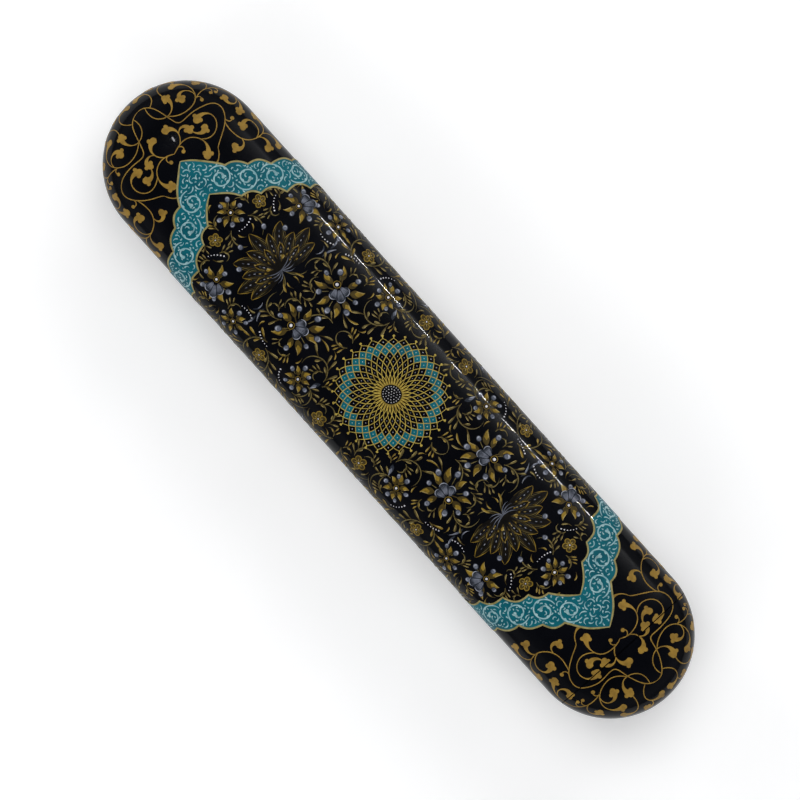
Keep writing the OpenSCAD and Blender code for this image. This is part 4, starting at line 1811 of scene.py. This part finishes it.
@dataclass
class FlowerField:
    """Flowers and leaf sprays between rosette and bands: one quarter, mirrored both ways."""

    width: float = 82.0
    height: float = 31.0
    rosette_r: float = 17.2
    edge_room: float = 1.9
    axis_room: float = 0.8
    shell: Ring = ((-32, 3.3, 1.45), (32, 3.3, 1.4), (0, 4.2, 1.5))
    motifs: tuple[Motif, ...] = (
        Bloom(
            33.5 + 9.2j, 205, around(8, 8.2, 2.2, 24), around(7, 6.6, 1.0, 48), shell,
            heart=2.2, root_share=0.4, eye=1.2,
        ),
        Bloom(
            58.5 + 16.6j, 120, around(6, 6.2, 2.2, 40), around(5, 4.6, 0.9, 75), shell,
            heart=1.2, eye=0.95,
        ),
        Bloom(20.4 + 18.4j, 250, around(6, 4.4, 1.9), around(6, 3.9, 0.85, 30), eye=0.95),
        Bloom(46.0 + 21.6j, 30, around(5, 4.4, 1.8), around(5, 3.8, 0.85, 36), eye=0.85),
        Rose(7.4 + 22.2j, 2.5, 10),
        Rose(33.6 + 22.8j, 2.2, 40),
        Rose(67.4 + 8.8j, 2.1, 25),
        Spray(66.4 + 3.2j, 128, 8.5, 120, 4, 3.0),
        Crescent(42.4 + 11.6j, 75, 5.0, 60, 0.7, Leafage.SILVER),
        Crescent(25.6 + 5.2j, 200, 5.6, -60, 0.9, Leafage.GOLD, Taper.CLUB),
        Crescent(25.8 + 4.8j, 222, 4.6, -30, 0.85, Leafage.MOSS, Taper.CLUB),
        Crescent(42.8 + 15.0j, 100, 4.4, -50, 0.7, Leafage.SILVER),
        Crescent(14.6 + 14.4j, 60, 3.6, 20, 1.3, Leafage.SILVER),
        beads_round(33.5 + 9.2j, 9.6, 60),
        beads_round(58.5 + 16.6j, 7.4, 300),
        beads_round(20.4 + 18.4j, 6.0, 20),
        beads_round(46.0 + 21.6j, 5.8, 240),
    )
    on_axis: tuple[Motif, ...] = (
        Bloom(70.6 + 0j, 0, around(6, 4.6, 1.9), around(6, 4.0, 0.85, 30), eye=0.95),
        beads_round(70.6 + 0j, 6.2, 150),
        Spray(25.6 + 0.6j, 8, 13.0, -150, 4, 3.4),
        Spray(37.6 - 0.8j, 178, 7.0, -190, 3, 2.8),
    )
    lotus: LotusPalmette = field(default_factory=LotusPalmette)
    sprays: tuple[tuple[float, int], ...] = (
        (15.0, 260), (12.0, 320), (9.0, 450), (7.0, 700), (5.2, 700), (4.0, 600)
    )
    spray_crowding: float = 0.11
    filler_tries: int = 800
    filler_crowding: float = 0.07
    seed: int = 5

    def paint(self, brush: Brushwork, edge: Flat, axis_copies: list[Copy], copies: list[Copy]) -> None:
        """Paints the lotus, the listed motifs and then what grows between them.

        Args:
            brush: Brushwork to draw in.
            edge: Inner edge of the band, from its tip to the foot of the wall.
            axis_copies: Placings of what stands on the long axis.
            copies: Placings of the quarter.
        """
        plan = Plan(self.width, self.height)
        ground = plan.ground()
        beyond = ground.real > plan.edge_at(edge) - self.edge_room
        plan.taken = (np.abs(ground) < self.rosette_r) | beyond | (ground.imag < self.axis_room)
        brush.plan = plan
        brush.copies = axis_copies
        self.lotus.paint(brush)
        for motif in self.on_axis:
            motif.paint(brush)
        spread = np.exp(1j * np.linspace(0.0, 1.5, 60))
        plan.mark(self.lotus.base + np.linspace(1.0, self.lotus.length - 1.0, 40)[:, None] * spread)
        brush.copies = copies
        for motif in self.motifs:
            motif.paint(brush)
        self.grow(brush, plan)
        brush.plan = None

    def grow(self, brush: Brushwork, plan: Plan) -> None:
        """Fills the free ground with sprays, then commas and ferns, each rooted beside what is there.

        Args:
            brush: Brushwork to draw in.
            plan: Ground of the quarter.
        """
        chance = np.random.default_rng(self.seed)
        for size, tries in self.sprays:
            for number in range(tries):
                turn = chance.choice([-1, 1]) * chance.uniform(105, 215)
                root = chance.choice(plan.shore())
                leafage = (Leafage.MOSS, Leafage.GOLD, Leafage.MOSS)[number % 3]
                leaves, leaf = 3 + int(size / 5), 1.9 + 0.17 * size
                spray = Spray(root, chance.uniform(0, 360), size, turn, leaves, leaf, leafage)
                if plan.crowding(spray.reach()) < self.spray_crowding:
                    spray.paint(brush)
        for number in range(self.filler_tries):
            root = chance.choice(plan.shore())
            heading = chance.uniform(0, 360)
            moss = Crescent(root, heading, 3.4, 70, 0.74, Leafage.MOSS, Taper.CLUB)
            gold = Crescent(root, heading, 2.8, -70, 0.66, Leafage.GOLD, Taper.CLUB)
            silver = Crescent(root, heading, 4.2, 110, 0.5, Leafage.SILVER)
            fern = Fan(root, heading, 5.0, 120, 9, 2)
            filler = (moss, fern, gold, silver, moss, gold)[number % 6]
            if plan.crowding(filler.reach()) < self.filler_crowding:
                filler.paint(brush)


@dataclass
class WallFrieze(Motif):
    """Running gold scroll round the walls, between two gold lines."""

    waves: int = 19
    middle: float = 12.8
    swing: float = 5.2
    top_line: float = 2.2
    low_line: float = 24.6
    bold: float = 0.5
    fine: float = 0.24
    rose_r: float = 2.4

    def paint(self, brush: Brushwork) -> None:
        """Paints lines, stem, curls and flowers all the way round.

        Args:
            brush: Brushwork to draw in.
        """
        skin = brush.skin
        round_box = 4 * skin.end_x + 2 * math.pi * skin.half
        t = np.linspace(0.0, round_box, 760)
        lines = ((self.top_line, self.bold), (self.top_line + 1.3, self.fine), (self.low_line, self.bold))
        for level, width in lines:
            brush.stroke(Tone.EDGE_GOLD, t + 1j * level, width, layer=2)
        wave = round_box / self.waves
        stem = t + 1j * (self.middle + self.swing * np.sin(2 * np.pi * t / wave))
        brush.stroke(Tone.OCHRE, stem, self.bold, layer=1)
        for k in range(2 * self.waves):
            hand = 1 if k % 2 else -1
            at = wave * (0.5 * k + 0.25) + 1j * (self.middle - hand * self.swing * 0.1)
            self.curl(brush, at + 0.6j * hand, hand)

    def curl(self, brush: Brushwork, at: complex, hand: int) -> None:
        """Paints one rose with its leaves and dots.

        Args:
            brush: Brushwork to draw in.
            at: Middle of the rose.
            hand: 1 or -1, up or down.
        """
        Rose(at, self.rose_r, 20.0).paint(brush)
        for lean in (0, 60, 120, 180):
            leaf = sweep(at + 3.0 * toward(hand * lean), hand * (lean + 20), 3.0, hand * 50, 1.0)
            paint_leaf(brush, leaf, 0.85, Leafage.GOLD, Taper.LEAF, 3)
        brush.beads(spiral(at, 4.0, 4.0, hand * 210, hand * 0.3, 12), 5, 0.24, 0.14)


@dataclass
class LacquerShell:
    """The two moulded shells of the box: the sleeve and the drawer's head."""

    outer: BoxSkin
    inner: BoxSkin
    seam: float
    head_back: float
    steps: tuple[int, ...] = (30, 26, 10, 10, 8)
    stations: int = 25
    fan: int = 56
    overrun: float = 10.0
    crease: float = 35.0

    def pillow(self, work: Work, skin: BoxSkin, reach: float) -> None:
        """Adds a closed round-ended form.

        Args:
            work: Mesh to add to.
            skin: Form to follow.
            reach: Where the straight part ends on the side of the seam, in millimetres.
        """
        profile = skin.profile(self.steps)
        stops = [float(x) for x in np.linspace(reach, -skin.end_x, self.stations)]
        poles: dict[float, tuple] = {}
        left = math.pi / 2
        turns = [math.pi * k / self.fan for k in range(1, self.fan)]
        places = [(x, left) for x in stops]
        places += [(stops[-1], left + turn) for turn in turns]
        places += [(x, -left) for x in stops[::-1]]
        places += [(stops[0], turn - left) for turn in turns]
        chains = []
        for x, angle in places:
            if x not in poles:
                ends = (profile[0][1], profile[-1][1])
                poles[x] = tuple(work.verts.new((x * MM, 0.0, z * MM)) for z in ends)
            middle = [
                work.verts.new(((x + r * math.cos(angle)) * MM, r * math.sin(angle) * MM, z * MM))
                for r, z in profile[1:-1]
            ]
            chains.append([poles[x][0], *middle, poles[x][1]])
        for one, two in zip(chains, chains[1:] + chains[:1]):
            for corners in zip(one, one[1:], two[1:], two):
                apart = list(dict.fromkeys(corners))
                if len(apart) > 2:
                    work.faces.new(apart)

    def piece(self, work: Work, name: str, node: str, body: str) -> Piece:
        """Turns the mesh into a piece that stands for a CAD node.

        Args:
            work: Finished mesh; it is freed.
            name: Name of the piece.
            node: CAD node that it replaces.
            body: Body that it rides on.

        Returns:
            The piece.
        """
        made = smooth_piece(work, name, self.crease)
        finish = BlackLacquer()
        made.data.materials.append(finish.material())
        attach(made, body)
        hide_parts(node)
        return made

    def build(self) -> list[Piece]:
        """Makes the sleeve with its hollow, and the solid head.

        Returns:
            The two pieces.
        """
        sleeve = bmesh.new()
        self.pillow(sleeve, self.outer, self.outer.end_x)
        self.pillow(sleeve, self.inner, self.seam + self.overrun)
        keep_side(sleeve, self.seam * MM, True)
        bmesh.ops.bridge_loops(sleeve, edges=[e for e in sleeve.edges if e.is_boundary])
        head = bmesh.new()
        self.pillow(head, self.outer, self.outer.end_x)
        keep_side(head, self.head_back * MM, False)
        bmesh.ops.contextual_create(head, geom=[e for e in head.edges if e.is_boundary])
        return [
            self.piece(sleeve, "lacquered_sleeve", "case_sleeve", "case"),
            self.piece(head, "lacquered_head", "drawer_head", "drawer"),
        ]


@dataclass
class InkWad:
    """Silk floss that fills the inkwell: a rumpled pad, flat where it rests, with loose strands on top."""

    node: str = "ink_wad"
    body: str = "drawer"
    rings: int = 22
    spokes: int = 56
    square: float = 0.4
    foot: float = 0.94
    strands: int = 44
    strand_r: float = 0.2
    strand_sides: int = 6
    strand_roots: float = 0.75
    strand_limit: float = 0.9
    seed: int = 9

    def top(self, share: Flat, high: float, low: float) -> np.ndarray:
        """Gives the height of the rumpled top.

        Args:
            share: Places in plan, as shares of the pad's half length and half width.
            high: Height of the pad's crown, in metres.
            low: Height of its base.

        Returns:
            One height for each place.
        """
        x, y = share.real, share.imag
        rumple = 0.05 * np.sin(9.0 * x + 4.0 * y) + 0.05 * np.sin(5.0 * x - 8.0 * y + 1.0)
        rumple = rumple + 0.03 * np.sin(17.0 * y)
        crown = np.sqrt(np.maximum(1.0 - np.maximum(np.abs(x), np.abs(y)) ** 5, 0.0))
        return low + (high - low) * (0.1 + 0.68 * crown + rumple * crown)

    def build(self) -> Piece:
        """Makes pad and strands as one piece that stands for the CAD wad.

        Returns:
            The piece.
        """
        low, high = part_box(self.node)
        middle, half = (low + high) / 2, (high - low) / 2
        work = bmesh.new()
        self.pad(work, middle, half)
        chance = np.random.default_rng(self.seed)
        spread, limit = self.strand_roots, self.strand_limit
        for _ in range(self.strands):
            root = chance.uniform(-spread, spread) + 1j * chance.uniform(-spread, spread)
            heading, length = chance.uniform(0, 360), chance.uniform(0.6, 1.3)
            path = sweep(root, heading, length, chance.uniform(-260, 260), 1.0, 0.04)
            path = np.clip(path.real, -limit, limit) + 1j * np.clip(path.imag, -limit, limit)
            self.strand(work, path, middle, half, chance.uniform(0.1, 0.5))
        made = smooth_piece(work, "silk_floss")
        finish = InkedSilk()
        made.data.materials.append(finish.material())
        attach(made, self.body)
        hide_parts(self.node)
        return made

    def pad(self, work: Work, middle: Vector, half: Vector) -> None:
        """Adds the closed pad: a soft-cornered crown over a flat base.

        Args:
            work: Mesh to add to.
            middle: Middle of the CAD wad, in metres.
            half: Half its size.
        """
        turn = np.arange(self.spokes) * 2 * np.pi / self.spokes
        round_x = np.sign(np.cos(turn)) * np.abs(np.cos(turn)) ** self.square
        round_y = np.sign(np.sin(turn)) * np.abs(np.sin(turn)) ** self.square
        rows = []
        for share in np.sin(np.linspace(0.0, np.pi / 2, self.rings))[1:]:
            plan = share * (round_x + 1j * round_y)
            levels = self.top(plan, middle.z + half.z, middle.z - half.z)
            rows.append([
                work.verts.new((middle.x + half.x * p.real, middle.y + half.y * p.imag, z))
                for p, z in zip(plan, levels)
            ])
        rows.append([
            work.verts.new((
                middle.x + self.foot * (v.co.x - middle.x), middle.y + self.foot * (v.co.y - middle.y),
                middle.z - half.z,
            ))
            for v in rows[-1]
        ])
        close_tube(work, rows)

    def strand(self, work: Work, path: Flat, middle: Vector, half: Vector, lift: float) -> None:
        """Adds one loose strand that lies on the pad.

        Args:
            work: Mesh to add to.
            path: Its line in plan, as shares of the half sizes.
            middle: Middle of the CAD wad, in metres.
            half: Half its size.
            lift: How far it stands off the pad at its highest, in millimetres.
        """
        t = np.linspace(0.0, 1.0, len(path))
        levels = self.top(path, middle.z + half.z, middle.z - half.z) + lift * MM * np.sin(3 * np.pi * t) ** 2
        line = np.stack([middle.x + half.x * path.real, middle.y + half.y * path.imag, levels], axis=1)
        along = np.gradient(line, axis=0)
        side = np.stack([-along[:, 1], along[:, 0], np.zeros(len(path))], axis=1)
        side /= np.maximum(np.linalg.norm(side, axis=1), 1e-12)[:, None]
        radius = self.strand_r * MM * np.maximum(np.sin(np.pi * t) ** 0.4, 0.3)
        turn = np.arange(self.strand_sides) * 2 * np.pi / self.strand_sides
        rings = []
        for centre, across, size in zip(line, side, radius):
            rings.append([
                work.verts.new(centre + size * (across * math.cos(a) + np.array((0.0, 0.0, math.sin(a)))))
                for a in turn
            ])
        close_tube(work, rings)


@dataclass
class DrawerFittings:
    """The drawer's tray and what lies in it, as the CAD makes them, with their finishes."""

    lacquered: tuple[str, ...] = ("drawer_tray", "tray_divider")
    brass: tuple[str, ...] = ("inkwell_body", "inkwell_lid", "lid_finial", "penknife_ferrule", "water_spoon")
    steel: tuple[str, ...] = ("inkwell_hinge_pin", "penknife_blade")
    reed: tuple[str, ...] = ("reed_pen_broad", "reed_pen_medium", "reed_pen_fine")
    bone: tuple[str, ...] = ("penknife_handle", "nib_plate")

    def dress(self) -> list[Piece]:
        """Gives every CAD node that shows its finish.

        Returns:
            The dressed nodes.
        """
        cast_brass = WorkedMetal(name="cast_brass", slot="brass")
        ground_steel = WorkedMetal(
            name="ground_steel", slot="steel", clear="#B4B6B8", dull="#7C7D80", line_mm=0.25,
            along=(1.0, 0.04, 0.04),
        )
        reed = DriedReed(nib_x=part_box(self.reed[0])[0].x)
        pairs = (
            (TrayLacquer(), self.lacquered), (cast_brass, self.brass), (ground_steel, self.steel),
            (reed, self.reed), (SawnBone(), self.bone),
        )
        dressed = []
        for finish, names in pairs:
            for name in names:
                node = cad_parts[name]
                node.data.materials.clear()
                node.data.materials.append(finish.material())
                dressed.append(node)
        return dressed


@dataclass
class Studio:
    """Camera, lights and floor. The camera looks straight down, as the photograph does."""

    roll: float = 47.96
    lens: float = 300.0
    sensor: float = 36.0
    view_width: float = 0.2396
    focus_z: float = 0.030
    offset_right: float = 0.0004
    offset_down: float = 0.00015
    room: tuple[tuple[float, str], ...] = (
        (0.0, "#66676A"), (0.15, "#6E6F72"), (0.4, "#A0A1A4"), (0.7, "#96979A"), (0.86, "#2A2B2E"),
        (1.0, "#1C1D20"),
    )
    floor_reach: float = 3.0
    floor_glow: float = 0.2
    softboxes: tuple[tuple[str, tuple[float, ...], tuple[float, float], float], ...] = (
        ("overhead_softbox", (-0.2, 0.1, 1.3), (0.9, 0.9), 6.1),
        ("key_softbox", (-0.5, 1.3, 0.9), (1.4, 0.7), 8.0),
        ("fill_softbox", (0.4, -1.3, 0.9), (1.4, 0.7), 6.6),
        ("end_softbox", (1.4, 0.2, 0.8), (0.8, 0.6), 4.1),
        ("far_softbox", (-1.4, -0.2, 0.8), (0.8, 0.6), 4.8),
    )
    glints: tuple[tuple[float, float], ...] = (
        (-57, -44), (-40, -36), (-31, -20), (-14, -8), (2, 6), (13, 18), (26, 30), (33, 37), (40, 52),
        (58, 66),
    )
    glint_stretch: float = 1.51
    glint_height: float = 0.012
    glint_y: float = 0.663
    glint_z: float = 0.828
    glint_power: float = 1700.0

    def camera(self) -> None:
        """Sets the camera over the box."""
        data = bpy.data.cameras.new("camera")
        data.lens = self.lens
        data.sensor_width = self.sensor
        data.clip_end = 20.0
        eye = place_object("camera", data)
        turn = math.radians(self.roll)
        right = Vector((math.cos(turn), math.sin(turn), 0.0))
        up = Vector((-math.sin(turn), math.cos(turn), 0.0))
        over = Vector((0.0, 0.0, self.focus_z + self.view_width * self.lens / self.sensor))
        eye.location = right * self.offset_right - up * self.offset_down + over
        eye.rotation_euler = (0.0, 0.0, turn)
        bpy.context.scene.camera = eye

    def lamp(
        self, name: str, at: Sequence[float], size: tuple[float, float], power: float, mirrored: bool = False
    ) -> None:
        """Hangs a soft rectangular lamp that faces the box.

        Args:
            name: Name of the lamp.
            at: Place, in metres.
            size: Width and height, in metres.
            power: Power in watts.
            mirrored: True if the lamp only shows as a reflection in gloss, False if it only lights.
        """
        data = bpy.data.lights.new(name, "AREA")
        data.shape = "RECTANGLE"
        data.size, data.size_y = size
        data.energy = power
        lamp = place_object(name, data)
        lamp.location = at
        to_box = Vector((0.0, 0.0, self.focus_z)) - Vector(at)
        lamp.rotation_euler = to_box.to_track_quat("-Z", "Y").to_euler()
        lamp.visible_glossy = mirrored
        lamp.visible_diffuse = not mirrored
        lamp.visible_camera = False

    def world(self) -> None:
        """Surrounds the scene with a plain grey room, darker overhead."""
        world = bpy.data.worlds.new("studio")
        world.use_nodes = True
        tree = world.node_tree
        place = add_node(tree, Kind.PLACE)
        split = add_node(tree, Kind.SPLIT, links={"Vector": place})
        shade = add_node(tree, Kind.RAMP, {"ramp": self.room}, {"Fac": split.outputs["Z"]})
        set_up(tree, tree.nodes["Background"], {"Strength": 1.0}, {"Color": shade})
        bpy.context.scene.world = world

    def floor(self) -> None:
        """Lays a pale floor that keeps the box's shadow."""
        reach = self.floor_reach
        corners = [(-reach, -reach, 0), (reach, -reach, 0), (reach, reach, 0), (-reach, reach, 0)]
        mesh = bpy.data.meshes.new("floor")
        mesh.from_pydata(corners, [], [(0, 1, 2, 3)])
        floor = place_object("floor", mesh)
        paper = bpy.data.materials.new("white_studio_paper")
        paper.use_nodes = True
        tree = paper.node_tree
        place = add_node(tree, Kind.PLACE).outputs["Object"]
        grain = add_node(tree, Kind.NOISE, {"Scale": per_mm(40.0)}, {"Vector": place})
        tint = add_node(tree, Kind.RAMP, {"ramp": [(0.3, "#FAFAFA"), (0.7, "#FDFDFD")]}, {"Fac": grain})
        ray = add_node(tree, Kind.RAY).outputs
        either = {0: ray["Is Camera Ray"], 1: ray["Is Glossy Ray"]}
        seen = add_node(tree, Kind.MATH, {"operation": "ADD"}, either)
        any_way = {"operation": "ADD", "use_clamp": True}
        shown = add_node(tree, Kind.MATH, any_way, {0: seen, 1: ray["Is Transmission Ray"]})
        glow = add_node(tree, Kind.MATH, {"operation": "MULTIPLY", 1: self.floor_glow}, {0: shown})
        matt = {"Emission Color": linear("#FFFFFF"), "Roughness": 0.9, "Specular IOR Level": 0.0}
        set_up(tree, tree.nodes["Principled BSDF"], matt, {"Base Color": tint, "Emission Strength": glow})
        mesh.materials.append(paper)

    def build(self) -> None:
        """Sets up camera, world, floor and lamps."""
        self.camera()
        self.world()
        self.floor()
        for name, at, size, power in self.softboxes:
            self.lamp(name, at, size, power)
        for start, stop in self.glints:
            size = ((stop - start) * self.glint_stretch * MM, self.glint_height)
            at = (0.5 * (start + stop) * self.glint_stretch * MM, self.glint_y, self.glint_z)
            self.lamp("window_strip", at, size, self.glint_power * size[0] * size[1], mirrored=True)
        self.lamp("window_pane", (-0.40, 0.07, 0.97), (0.02, 0.05), 0.15, mirrored=True)
        bpy.context.scene.view_settings.view_transform = "Standard"


def paint_box(skin: BoxSkin, seam: float, gap: float) -> list[Piece]:
    """Paints the whole box. The two ends are not quite alike, as a hand would set them.

    Args:
        skin: Outer surface.
        seam: Where the sleeve ends, in millimetres.
        gap: Width of the seam.

    Returns:
        The painted pieces.
    """
    ends_shift = {False: -0.9 + 1.3j, True: -1.3 - 0.5j}
    band_shift = {False: -1.9 + 1.4j, True: -1.9 - 0.8j}
    field_shift = {False: -1.2, True: -4.3}
    sides = [(u, v) for u in (False, True) for v in (False, True)]
    brush = Brushwork(skin, seam, gap)
    brush.face = Face.WALL
    WallFrieze().paint(brush)
    brush.face = Face.TOP
    Rosette().paint(brush)
    band = CuspedBand()
    outer, inner = band.edges()
    brush.copies = [Copy(u, v, ends_shift[u]) for u, v in sides]
    GoldEnds().paint(brush, outer)
    brush.copies = [Copy(u, v, band_shift[u]) for u, v in sides]
    band.paint(brush)
    on_axis = [Copy(u, False, field_shift[u]) for u in (False, True)]
    quarters = [Copy(u, v, field_shift[u]) for u, v in sides]
    FlowerField().paint(brush, inner, on_axis, quarters)
    return brush.hang()


def main() -> None:
    """Builds every class in order and reports each piece."""
    logging.basicConfig(level=logging.INFO, format="%(name)s %(message)s")
    Studio().build()
    sleeve_low, sleeve_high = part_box("case_sleeve")
    head_low, head_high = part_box("drawer_head")
    outer = BoxSkin(
        length=(head_high.x - sleeve_low.x) / MM,
        width=(sleeve_high.y - sleeve_low.y) / MM,
        height=(sleeve_high.z - sleeve_low.z) / MM,
    )
    wall = 3.2
    inner = BoxSkin(
        length=outer.length - 2 * wall, width=outer.width - 2 * wall, height=outer.height - 2 * wall,
        crown_r=outer.crown_r - wall, shoulder_r=outer.shoulder_r - wall, base_r=1.5, base_z=wall,
    )
    seam, head_back = sleeve_high.x / MM, head_low.x / MM
    pieces = LacquerShell(outer, inner, seam, head_back).build()
    pieces += paint_box(outer, seam, head_back - seam)
    pieces.append(InkWad().build())
    pieces += DrawerFittings().dress()
    for piece in pieces:
        LOG.info("%s: %d faces", piece.name, len(piece.data.polygons))


if __name__ == "__main__":
    main()
